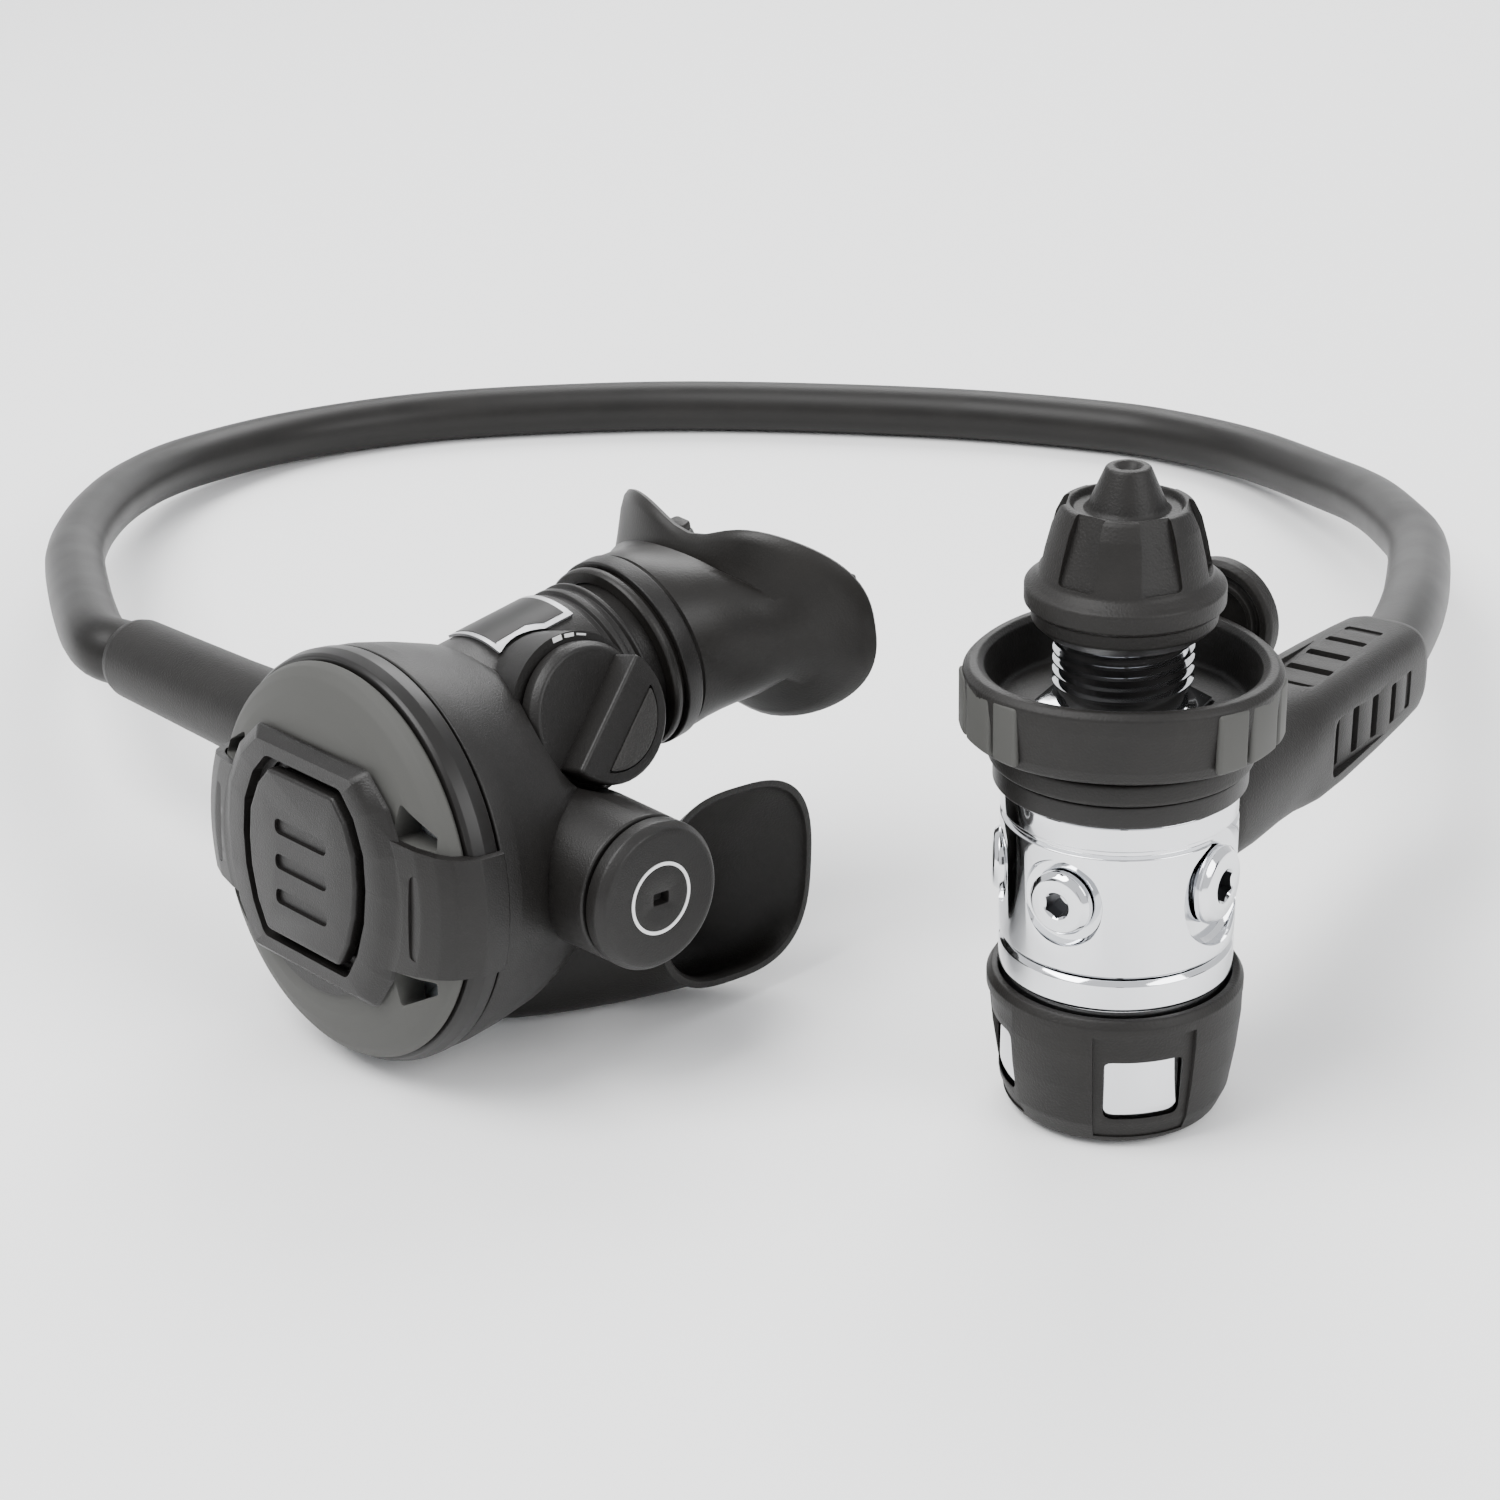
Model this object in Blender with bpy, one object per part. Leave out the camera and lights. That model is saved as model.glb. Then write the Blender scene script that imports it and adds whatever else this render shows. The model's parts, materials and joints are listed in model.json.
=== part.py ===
"""Scuba regulator set: piston first stage, low-pressure hose and second stage.

Metres, +Z up. The set stands on the plane z = 0 with the origin under the middle of its two stages.
The first stage is modelled about its own upright axis. The second stage is modelled in a frame whose
X runs along the valve barrel, Y from the front cover towards the mouthpiece and Z up the cover.
"""
import math

import bmesh
import bpy
from mathutils import Euler, Matrix, Vector

# ---------------------------------------------------------------- driving dimensions
GAP = 0.0003                              # clearance between pieces that touch
FIRST_STAGE_AT = (0.0648, -0.0441, 0.0)
SECOND_STAGE_AT = (-0.0620, -0.0202, 0.0381)
SECOND_STAGE_YAW = math.radians(-48.0)
SECOND_STAGE_LEAN = math.radians(-5.0)
SECOND_STAGE_ROLL = math.radians(-1.0)

FINE_ROUND = 26                           # sides of the widest round pieces
ROUND = 20                                # sides of a large round piece
SMALL_ROUND = 12                          # sides of a small round piece

BODY_R = 0.0197                           # first stage body
BODY_BOTTOM = 0.0325
BODY_TOP = 0.0600
PORT_Z = 0.0450
LP_PORT_ANGLES = (115.0, 175.0, 235.0)
HP_PORT_ANGLE = 325.0
HOSE_PORT_ANGLE = 55.0
LP_SPOT_R = 0.0075
LP_SPOT_FACE = 0.0182
HP_SPOT_R = 0.0100
HP_SPOT_FACE = 0.0172
SHROUD_R = 0.0217
SHROUD_TOP = 0.0255
WINDOW_ANGLES = (8.0, 98.0, 188.0, 278.0)

THREAD_R = 0.01145                        # G5/8 male thread
WHEEL_R = 0.0258
WHEEL_BOTTOM = 0.0686
WHEEL_TOP = 0.0815
WHEEL_CORNER = math.radians(-37.0)

HOSE_R = 0.0068                           # low-pressure hose
HOSE_STEP = 0.0170                        # spacing of the points along the hose
PROTECTOR_START = 0.0215
PROTECTOR_LENGTH = 0.0865
PROTECTOR_DROOP = math.radians(1.66)
HOSE_END_X = -0.0693                      # hose end, along the second stage's barrel
SLEEVE_START_X = -0.0447
SLEEVE_END_X = -0.1140

COVER_R = 0.0368                          # second stage
FACE_R = 0.0353
BARREL_Y = 0.0237
BARREL_Z = 0.0010
BARREL_R = 0.0072
END_CAP_X = 0.0490
TUBE_AT = (0.0, 0.0535, 0.0244)           # mouthpiece seat on the tube's axis
TUBE_RISE = math.radians(13.4)
TUBE_R = 0.0170
TUBE_BORE_R = 0.0130
NECK_R = 0.0150
KNOB_AT = (0.0, 0.0310, 0.0191)
KNOB_RISE = math.radians(14.0)
GRIP_TURN = math.radians(48.0)             # the grip points this far round from straight down
KNOB_R = 0.0130

AXIS_TURN = {
    "Z": Euler((0.0, 0.0, 0.0)),
    "X": Euler((0.0, math.pi / 2, 0.0)),
    "Y": Euler((-math.pi / 2, 0.0, 0.0)),
}

# colour, roughness, metallic
FINISHES = {
    "chrome": ((0.80, 0.81, 0.83), 0.08, 1.0),
    "steel": ((0.62, 0.62, 0.63), 0.30, 1.0),
    "brass": ((0.72, 0.53, 0.25), 0.30, 1.0),
    "bronze": ((0.55, 0.38, 0.20), 0.60, 1.0),
    "black_rubber": ((0.030, 0.028, 0.026), 0.60, 0.0),
    "black_plastic": ((0.032, 0.030, 0.029), 0.45, 0.0),
    "cover_plastic": ((0.045, 0.043, 0.041), 0.65, 0.0),
    "silicone": ((0.55, 0.58, 0.60), 0.40, 0.0),
    "seat_polymer": ((0.85, 0.84, 0.78), 0.45, 0.0),
    "label_silver": ((0.55, 0.55, 0.56), 0.35, 0.6),
}


# ---------------------------------------------------------------- helpers
def clear_scene():
    """Remove every object that is in the scene."""
    for old in list(bpy.data.objects):
        bpy.data.objects.remove(old, do_unlink=True)


def finish(obj, kind):
    """Give an object its own Principled material."""
    colour, roughness, metallic = FINISHES[kind]
    material = bpy.data.materials.new(obj.name + "_" + kind)
    material.use_nodes = True
    shader = material.node_tree.nodes["Principled BSDF"]
    shader.inputs["Base Color"].default_value = (*colour, 1.0)
    shader.inputs["Roughness"].default_value = roughness
    shader.inputs["Metallic"].default_value = metallic
    obj.data.materials.append(material)


def frame(name, at, rotation=None, parent=None):
    """Add an empty that places the pieces parented to it."""
    empty = bpy.data.objects.new(name, None)
    bpy.context.collection.objects.link(empty)
    empty.parent = parent
    empty.location = at
    if rotation is not None:
        empty.rotation_euler = rotation
    return empty


def add_mesh(name, verts, faces, kind, parent, at=(0.0, 0.0, 0.0), axis="Z", smooth=40.0):
    """Make one object from vertices and faces, with its faces turned outwards."""
    mesh = bpy.data.meshes.new(name)
    bm = bmesh.new()
    made = [bm.verts.new(co) for co in verts]
    for face in faces:
        bm.faces.new([made[i] for i in face])
    bmesh.ops.recalc_face_normals(bm, faces=bm.faces)
    bm.to_mesh(mesh)
    bm.free()
    mesh.shade_smooth()
    mesh.set_sharp_from_angle(angle=math.radians(smooth))
    obj = bpy.data.objects.new(name, mesh)
    bpy.context.collection.objects.link(obj)
    obj.parent = parent
    obj.location = at
    obj.rotation_euler = AXIS_TURN[axis] if isinstance(axis, str) else axis
    if kind is not None:
        finish(obj, kind)
    return obj


def turned(name, profile, kind, parent, at=(0.0, 0.0, 0.0), axis="Z", sides=ROUND, radius=None):
    """Turn a closed outline of (radius, height) points about an axis.

    Points at radius 0 become poles. radius(r, z, angle), where given, reshapes the round section.
    """
    verts = []
    rows = []
    for r, z in profile:
        if r == 0.0:
            rows.append([len(verts)] * sides)
            verts.append((0.0, 0.0, z))
            continue
        rows.append(list(range(len(verts), len(verts) + sides)))
        for step in range(sides):
            angle = 2 * math.pi * step / sides
            reach = radius(r, z, angle) if radius else r
            verts.append((reach * math.cos(angle), reach * math.sin(angle), z))
    faces = []
    for index, row in enumerate(rows):
        following = rows[(index + 1) % len(rows)]
        if row[0] == row[1] and following[0] == following[1]:
            continue
        for step in range(sides):
            after = (step + 1) % sides
            corners = [row[step], row[after], following[after], following[step]]
            faces.append(list(dict.fromkeys(corners)))
    return add_mesh(name, verts, faces, kind, parent, at, axis)


def prism(name, outline, low, high, kind, parent, at=(0.0, 0.0, 0.0), axis="Z"):
    """Extrude a flat outline from low to high along an axis."""
    count = len(outline)
    verts = [(x, y, low) for x, y in outline] + [(x, y, high) for x, y in outline]
    faces = [list(range(count)), list(range(count, 2 * count))]
    for step in range(count):
        after = (step + 1) % count
        faces.append([step, after, count + after, count + step])
    return add_mesh(name, verts, faces, kind, parent, at, axis)


def loft_faces(first, rings, sides, wrap=False):
    """Faces between rings of equal length whose vertices start at index first."""
    faces = []
    last = rings if wrap else rings - 1
    for ring in range(last):
        here = first + ring * sides
        there = first + ((ring + 1) % rings) * sides
        for step in range(sides):
            after = (step + 1) % sides
            faces.append([here + step, here + after, there + after, there + step])
    return faces


def shell(name, outer, inner, kind, parent, at=(0.0, 0.0, 0.0), axis="Z"):
    """An open-ended wall between an outer and an inner run of rings."""
    rings = outer + inner[::-1]
    sides = len(outer[0])
    verts = [co for ring in rings for co in ring]
    return add_mesh(name, verts, loft_faces(0, len(rings), sides, wrap=True), kind, parent, at, axis)


def solid_loft(name, rings, kind, parent, at=(0.0, 0.0, 0.0), axis="Z"):
    """A closed solid through a run of rings, with flat ends."""
    sides = len(rings[0])
    verts = [co for ring in rings for co in ring]
    faces = loft_faces(0, len(rings), sides)
    faces.append(list(range(sides)))
    faces.append(list(range((len(rings) - 1) * sides, len(rings) * sides)))
    return add_mesh(name, verts, faces, kind, parent, at, axis)


def boxes(name, spans, parent, at=(0.0, 0.0, 0.0), axis="Z"):
    """Several separate boxes in one mesh, for use as a cutter."""
    verts = []
    faces = []
    for low, high in spans:
        first = len(verts)
        for x in (low[0], high[0]):
            for y in (low[1], high[1]):
                for z in (low[2], high[2]):
                    verts.append((x, y, z))
        for face in ((0, 1, 3, 2), (4, 6, 7, 5), (0, 4, 5, 1), (2, 3, 7, 6), (0, 2, 6, 4), (1, 5, 7, 3)):
            faces.append([first + i for i in face])
    return add_mesh(name, verts, faces, None, parent, at, axis)


def combine(obj, other, operation, solver="EXACT"):
    """Add, cut or keep the overlap with another object, which is then hidden."""
    step = obj.modifiers.new(other.name, "BOOLEAN")
    step.operation = operation
    step.solver = solver
    step.object = other
    other.hide_render = True
    other.display_type = "WIRE"


def cylinder(name, radius, low, high, kind, parent, at=(0.0, 0.0, 0.0), axis="Z", sides=SMALL_ROUND):
    """A plain solid cylinder."""
    profile = [(0.0, low), (radius, low), (radius, high), (0.0, high)]
    return turned(name, profile, kind, parent, at, axis, sides)


def pipe(name, outer, inner, low, high, kind, parent, at=(0.0, 0.0, 0.0), axis="Z", sides=SMALL_ROUND):
    """A plain tube."""
    profile = [(inner, low), (outer, low), (outer, high), (inner, high)]
    return turned(name, profile, kind, parent, at, axis, sides)


def o_ring(name, radius, thickness, height, parent, at=(0.0, 0.0, 0.0), axis="Z"):
    """A rubber ring of round section."""
    profile = []
    for step in range(6):
        angle = 2 * math.pi * step / 6
        profile.append((radius + thickness * math.cos(angle), height + thickness * math.sin(angle)))
    return turned(name, profile, "black_rubber", parent, at, axis, 16)


def hexagon(across_flats, turn=0.0):
    """Corners of a hexagon of a given width across its flats."""
    radius = across_flats / math.sqrt(3.0)
    return [
        (radius * math.cos(turn + math.pi * k / 3), radius * math.sin(turn + math.pi * k / 3))
        for k in range(6)
    ]


def coil(name, radius, wire, low, high, turns, kind, parent, at=(0.0, 0.0, 0.0), axis="Z"):
    """A helical spring as one closed tube."""
    per_turn = 10
    sides = 4
    rings = []
    steps = int(turns * per_turn)
    for step in range(steps + 1):
        angle = 2 * math.pi * step / per_turn
        height = low + wire + (high - low - 2 * wire) * step / steps
        ring = []
        for side in range(sides):
            lean = 2 * math.pi * side / sides
            reach = radius + wire * math.cos(lean)
            ring.append((reach * math.cos(angle), reach * math.sin(angle), height + wire * math.sin(lean)))
        rings.append(ring)
    return solid_loft(name, rings, kind, parent, at, axis)


def arc_point(radius, degrees):
    """Point on a circle in the horizontal plane."""
    angle = math.radians(degrees)
    return radius * math.cos(angle), radius * math.sin(angle)


# ---------------------------------------------------------------- first stage
def build_body(stage):
    """Chromed body with its ports, stem bore and connector cavity."""
    profile = [
        (0.0115, 0.0255), (0.0157, 0.0255), (0.0157, BODY_BOTTOM), (BODY_R, BODY_BOTTOM + 0.0003),
        (BODY_R, 0.0543), (BODY_R - 0.0006, 0.0546), (BODY_R - 0.0006, 0.0551), (BODY_R, 0.0554),
        (BODY_R, BODY_TOP - 0.0006), (BODY_R - 0.0006, BODY_TOP), (0.0120, BODY_TOP), (0.0120, 0.0665),
        (0.0085, 0.0665), (0.0085, 0.0500), (0.0012, 0.0500), (0.0012, 0.0478), (0.0070, 0.0478),
        (0.0070, 0.0410), (0.0039, 0.0410), (0.0039, 0.0399), (0.0063, 0.0399), (0.0063, 0.0371),
        (0.0039, 0.0371), (0.0039, 0.0290), (0.0115, 0.0290),
    ]
    body = turned("first_stage_body", profile, "chrome", stage)
    for angle in (*LP_PORT_ANGLES, HOSE_PORT_ANGLE, HP_PORT_ANGLE):
        high_pressure = angle == HP_PORT_ANGLE
        spot = HP_SPOT_R if high_pressure else LP_SPOT_R
        face = HP_SPOT_FACE if high_pressure else LP_SPOT_FACE
        bore = 0.0055 if high_pressure else 0.0047
        cutter = turned(
            f"port_cutter_{angle:.0f}",
            [(0.0, 0.0055), (bore, 0.0055), (bore, face), (spot, face), (spot, 0.0300), (0.0, 0.0300)],
            None, stage, (0.0, 0.0, PORT_Z), Euler((0.0, math.pi / 2, math.radians(angle))), 16,
        )
        combine(body, cutter, "DIFFERENCE")


def build_plugs(stage):
    """Domed port plugs with hexagon sockets."""
    ports = [(f"lp_plug_{n + 1}", angle, LP_SPOT_FACE, 0.0055, 0.0043, 0.0040)
             for n, angle in enumerate(LP_PORT_ANGLES)]
    ports.append(("high_plug", HP_PORT_ANGLE, HP_SPOT_FACE, 0.0067, 0.0051, 0.0050))
    for name, angle, face, head, shank, socket in ports:
        seat = face + GAP
        top = seat + 0.0024
        profile = [
            (0.0, 0.0110), (shank, 0.0110), (shank, seat), (head - 0.0003, seat), (head, seat + 0.0004),
            (head, seat + 0.0010), (head * 0.92, seat + 0.0017), (head * 0.75, top - 0.0002),
            (head * 0.55, top), (0.0, top),
        ]
        turn = Euler((0.0, math.pi / 2, math.radians(angle)))
        plug = turned(name, profile, "chrome", stage, (0.0, 0.0, PORT_Z), turn, 16)
        key = prism(name + "_socket", hexagon(socket), top - 0.0028, top + 0.002, None, stage,
                    (0.0, 0.0, PORT_Z), turn)
        combine(plug, key, "DIFFERENCE")


def build_piston(stage):
    """Piston cap, piston, spring, seat and their rings."""
    cap = [
        (0.0, 0.0016), (0.0165, 0.0016), (0.0182, 0.0040), (0.0190, 0.0080), (0.0192, 0.0262),
        (BODY_R, 0.0264), (BODY_R, 0.0317), (BODY_R - 0.0004, 0.0321), (0.0160, 0.0321), (0.0160, 0.0045),
        (0.0, 0.0045),
    ]
    turned("piston_cap", cap, "chrome", stage)
    slider = frame("piston_axis", (0.0, 0.0, 0.0), parent=stage)
    piston = [
        (0.0016, 0.0075), (0.0150, 0.0075), (0.0150, 0.0082), (0.0132, 0.0082), (0.0132, 0.0108),
        (0.0150, 0.0108), (0.0150, 0.0115), (0.0060, 0.0118), (0.0035, 0.0130), (0.0035, 0.0440),
        (0.0016, 0.0440),
    ]
    turned("piston", piston, "steel", slider, sides=20)
    o_ring("piston_head_oring", 0.0145, 0.0009, 0.0095, slider)
    cylinder("piston_seat", 0.0030, 0.0443, 0.0463, "seat_polymer", slider)
    coil("piston_spring", 0.0085, 0.0010, 0.0122, 0.0286, 4.5, "steel", stage)
    o_ring("stem_oring", 0.0050, 0.0009, 0.0385, stage)


def build_shroud(stage):
    """Black shroud round the piston cap, with four windows in shallow channels."""
    profile = [
        (0.0060, 0.0), (0.0157, 0.0), (0.0176, 0.0010), (0.0192, 0.0034), (0.0202, 0.0070),
        (0.0214, 0.0160), (SHROUD_R, 0.0230), (SHROUD_R - 0.0002, 0.0248), (SHROUD_R - 0.0008, SHROUD_TOP),
        (0.0196, SHROUD_TOP), (0.0196, 0.0080), (0.0188, 0.0040), (0.0169, 0.0013), (0.0060, 0.0013),
    ]
    shroud = turned("cap_shroud", profile, "black_rubber", stage)
    for angle in WINDOW_ANGLES:
        turn = Euler((0.0, 0.0, math.radians(angle)))
        channel = boxes(f"channel_{angle:.0f}", [((0.0205, -0.0078, 0.0030), (0.03, 0.0078, 0.0228))],
                        stage, axis=turn)
        window = boxes(f"window_{angle:.0f}", [((0.0150, -0.0068, 0.0063), (0.03, 0.0068, 0.0178))],
                       stage, axis=turn)
        combine(shroud, channel, "DIFFERENCE")
        combine(shroud, window, "DIFFERENCE")


def wheel_radius(r, _z, angle):
    """Outline of the handwheel: a circle drawn out into three soft corners."""
    if r < WHEEL_R - 0.002:
        return r
    return r + 0.0009 * math.cos(3.0 * (angle - WHEEL_CORNER))


def build_connector(stage):
    """Retainer, filter, rings, handwheel, threaded insert and dust cap."""
    retainer = [
        (0.0055, 0.0520), (0.0082, 0.0520), (0.0082, 0.0685), (0.0105, 0.0685), (0.0105, 0.0700),
        (0.0078, 0.0700), (0.0078, 0.0825), (0.0095, 0.0825), (0.0095, 0.0925), (0.0077, 0.0925),
        (0.0077, 0.0908), (0.0053, 0.0908), (0.0053, 0.0925), (0.0030, 0.0925), (0.0030, 0.0580),
        (0.0055, 0.0580),
    ]
    turned("din_retainer", retainer, "chrome", stage, sides=18)
    o_ring("retainer_oring", 0.0093, 0.0008, 0.0675, stage)
    o_ring("din_oring", 0.0065, 0.0009, 0.0920, stage)
    turned("sintered_filter", [(0.0, 0.0535), (0.0050, 0.0535), (0.0042, 0.0576), (0.0, 0.0576)],
           "bronze", stage, sides=SMALL_ROUND)
    pipe("filter_clip", 0.0051, 0.0036, 0.0523, 0.0532, "steel", stage)
    pipe("neck_ring", 0.0210, 0.0123, BODY_TOP + GAP, 0.0640, "black_plastic", stage, sides=ROUND)
    ring = [
        (0.0123, 0.0643), (0.0215, 0.0643), (0.0219, 0.0648), (0.0219, 0.0676), (0.0215, 0.0682),
        (0.0123, 0.0682),
    ]
    strap = turned("strap_ring", ring, "black_rubber", stage)
    arm = boxes("strap_arm", [((0.0190, -0.0040, 0.0645), (0.0330, 0.0040, 0.0675))], stage,
                axis=Euler((0.0, 0.0, math.radians(HOSE_PORT_ANGLE - 5.0))))
    combine(strap, arm, "UNION")
    tab = [
        (0.0, -0.0020), (0.0098, -0.0020), (0.0104, -0.0012), (0.0104, 0.0012), (0.0098, 0.0020),
        (0.0084, 0.0020), (0.0080, 0.0008), (0.0070, 0.0008), (0.0066, 0.0018), (0.0056, 0.0018),
        (0.0050, 0.0004), (0.0, 0.0004),
    ]
    tab_at = (*arc_point(0.0305, HOSE_PORT_ANGLE - 5.0), 0.0785)
    turned("strap_tab", tab, "black_rubber", stage, tab_at,
           Euler((0.0, -math.pi / 2, math.radians(HOSE_PORT_ANGLE - 5.0))), 20)

    spin = frame("handwheel_axis", (0.0, 0.0, 0.0), parent=stage)
    wheel = [
        (0.0146, WHEEL_BOTTOM), (0.0225, WHEEL_BOTTOM), (WHEEL_R - 0.0016, 0.0697), (WHEEL_R, 0.0712),
        (WHEEL_R, 0.0800), (WHEEL_R - 0.0004, 0.0811), (WHEEL_R - 0.0014, WHEEL_TOP), (0.0231, WHEEL_TOP),
        (0.0223, 0.0810), (0.0218, 0.0798), (0.0208, 0.0740), (0.0196, 0.0730), (0.0146, 0.0730),
    ]
    handwheel = turned("handwheel", wheel, "black_rubber", spin, sides=FINE_ROUND, radius=wheel_radius)
    recess = prism("hex_recess", hexagon(0.0262), 0.0660, 0.0800, None, spin)
    combine(handwheel, recess, "DIFFERENCE")
    insert = [
        (0.0081, 0.0735), (THREAD_R - 0.0006, 0.0735), (THREAD_R - 0.0006, 0.0762), (THREAD_R, 0.0768),
        (THREAD_R, 0.0900), (THREAD_R - 0.0009, 0.0910), (0.0098, 0.0910), (0.0098, 0.0822),
        (0.0081, 0.0822),
    ]
    stub = turned("wheel_insert", insert, "chrome", spin, sides=24)
    flange = prism("insert_flange", hexagon(0.0254), 0.0706, 0.0738, None, spin)
    bore = cylinder("insert_bore", 0.0081, 0.0600, 0.0810, None, spin, sides=24)
    combine(stub, flange, "UNION")
    combine(stub, bore, "DIFFERENCE")

    cap_axis = frame("dust_cap_axis", (0.0, 0.0, 0.0), parent=spin)
    cap = [
        (0.0, 0.1138), (0.0033, 0.1141), (0.0048, 0.1110), (0.0065, 0.1069), (0.0087, 0.1069),
        (0.0094, 0.1079), (0.0107, 0.1076), (0.0124, 0.1040), (0.0142, 0.0956), (0.0160, 0.0948),
        (0.01625, 0.0940), (0.01625, 0.0917), (0.0153, 0.0908), (0.0151, 0.0885), (0.0126, 0.0864),
        (0.0118, 0.0870), (0.0118, 0.0955), (0.0, 0.0955),
    ]
    dust_cap = turned("dust_cap", cap, "black_rubber", cap_axis, sides=24)
    for step in range(6):
        turn = Euler((0.0, math.radians(-9.5), math.radians(-86.0 + 60.0 * step)), "XYZ")
        flat = boxes(f"cap_flat_{step}", [((-0.0010, -0.0042, -0.0048), (0.02, 0.0042, 0.0040))], cap_axis,
                     (*arc_point(0.0130, -86.0 + 60.0 * step), 0.1020), turn)
        combine(dust_cap, flat, "DIFFERENCE")


# ---------------------------------------------------------------- hose and its fittings
def rounded_square(half, roundness, height, sides=20):
    """Ring of a square whose corners are rounded."""
    ring = []
    for step in range(sides):
        angle = 2 * math.pi * step / sides
        c = abs(math.cos(angle)) ** roundness
        s = abs(math.sin(angle)) ** roundness
        reach = half / (c + s) ** (1.0 / roundness)
        ring.append((reach * math.cos(angle), reach * math.sin(angle), height))
    return ring


def build_hose_ends(stage, second):
    """Port fitting, ferrules, swivel nut, ribbed protector and smooth sleeve."""
    turn = Euler((0.0, math.pi / 2, math.radians(HOSE_PORT_ANGLE)))
    port = (0.0, 0.0, PORT_Z)
    fitting = turned(
        "hose_fitting",
        [(0.0020, 0.0110), (0.0043, 0.0110), (0.0043, 0.0185), (0.0070, 0.0185), (0.0070, 0.0252),
         (0.0036, 0.0252), (0.0036, 0.0400), (0.0020, 0.0400)],
        "chrome", stage, port, turn,
    )
    collar = prism("fitting_hex", hexagon(0.0155), 0.0201, 0.0248, None, stage, port, turn)
    hole = cylinder("fitting_hole", 0.0020, 0.0100, 0.0410, None, stage, port, turn)
    combine(fitting, collar, "UNION")
    combine(fitting, hole, "DIFFERENCE")
    pipe("ferrule_first", 0.0082, 0.0040, 0.0256, 0.0420, "chrome", stage, port, turn)
    root = (*arc_point(PROTECTOR_START, HOSE_PORT_ANGLE), PORT_Z)
    droop = Euler((0.0, math.pi / 2 + PROTECTOR_DROOP, math.radians(HOSE_PORT_ANGLE)))
    sections = [
        (0.0110, 2.0, 0.0), (0.0118, 2.0, 0.0025), (0.0121, 2.0, 0.0125), (0.0117, 2.2, 0.0305),
        (0.0113, 3.2, 0.0385), (0.0110, 3.6, 0.0485), (0.0104, 3.6, 0.0635), (0.0097, 3.6, 0.0765),
        (0.0093, 3.4, 0.0835), (0.0086, 3.0, PROTECTOR_LENGTH),
    ]
    outer = [rounded_square(half, power, height) for half, power, height in sections]
    inner = [
        rounded_square(0.0096, 2.0, 0.0), rounded_square(0.0096, 2.0, 0.0300),
        rounded_square(0.0077, 2.0, 0.0450), rounded_square(0.0076, 2.0, PROTECTOR_LENGTH),
    ]
    protector = shell("hose_protector", outer, inner, "black_rubber", stage, root, droop)
    slots = []
    for rib in range(5):
        middle = 0.0425 + 0.0078 * rib
        half = 0.0066 - 0.0005 * rib
        face = 0.0097 - 0.00045 * rib
        slots.append(((face, -half, middle - 0.0009), (0.02, half, middle + 0.0009)))
        slots.append(((-0.02, -half, middle - 0.0009), (-face, half, middle + 0.0009)))
        slots.append(((-half, face, middle - 0.0009), (half, 0.02, middle + 0.0009)))
        slots.append(((-half, -0.02, middle - 0.0009), (half, -face, middle + 0.0009)))
    cutter = boxes("protector_slots", slots, stage, root, droop)
    combine(protector, cutter, "DIFFERENCE")

    barrel = (0.0, BARREL_Y, BARREL_Z)
    nut = prism("swivel_nut", hexagon(0.0150), -0.0490, -0.0404, "chrome", second, barrel, "X")
    nut_bore = turned(
        "nut_bore",
        [(0.0, -0.0500), (0.0040, -0.0500), (0.0040, -0.0462), (0.0059, -0.0462), (0.0059, -0.0395),
         (0.0, -0.0395)],
        None, second, barrel, "X",
    )
    combine(nut, nut_bore, "DIFFERENCE")
    pipe("ferrule_second", 0.0082, 0.0020, -0.0690, -0.0493, "chrome", second, barrel, "X")
    sleeve = [
        (0.0079, SLEEVE_END_X), (0.0082, SLEEVE_END_X + 0.0002), (0.0084, SLEEVE_END_X + 0.0014),
        (0.0085, -0.1000), (0.0090, -0.0780), (0.0098, -0.0560), (0.0100, SLEEVE_START_X),
        (0.0090, SLEEVE_START_X), (0.0090, -0.0500), (0.0085, -0.0510), (0.0085, -0.0692),
        (0.0075, -0.0710),
    ]
    turned("hose_sleeve", sleeve, "black_rubber", second, barrel, "X", 28)


def smooth_route(points, spacing):
    """Points at an even spacing along a smooth curve through the given points."""
    knots = [Vector(point) for point in points]
    ends = [2 * knots[0] - knots[1], *knots, 2 * knots[-1] - knots[-2]]
    dense = []
    for index in range(1, len(ends) - 2):
        before, start, stop, after = ends[index - 1:index + 3]
        for step in range(24):
            t = step / 24
            dense.append(0.5 * (
                2 * start + (stop - before) * t
                + (2 * before - 5 * start + 4 * stop - after) * t ** 2
                + (3 * start - before - 3 * stop + after) * t ** 3
            ))
    dense.append(knots[-1])
    route = [dense[0]]
    gone = 0.0
    for here, there in zip(dense, dense[1:]):
        gone += (there - here).length
        if gone >= spacing:
            route.append(there)
            gone = 0.0
    if (route[-1] - knots[-1]).length < 0.5 * spacing:
        route.pop()
    route.append(knots[-1])
    return route


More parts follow.
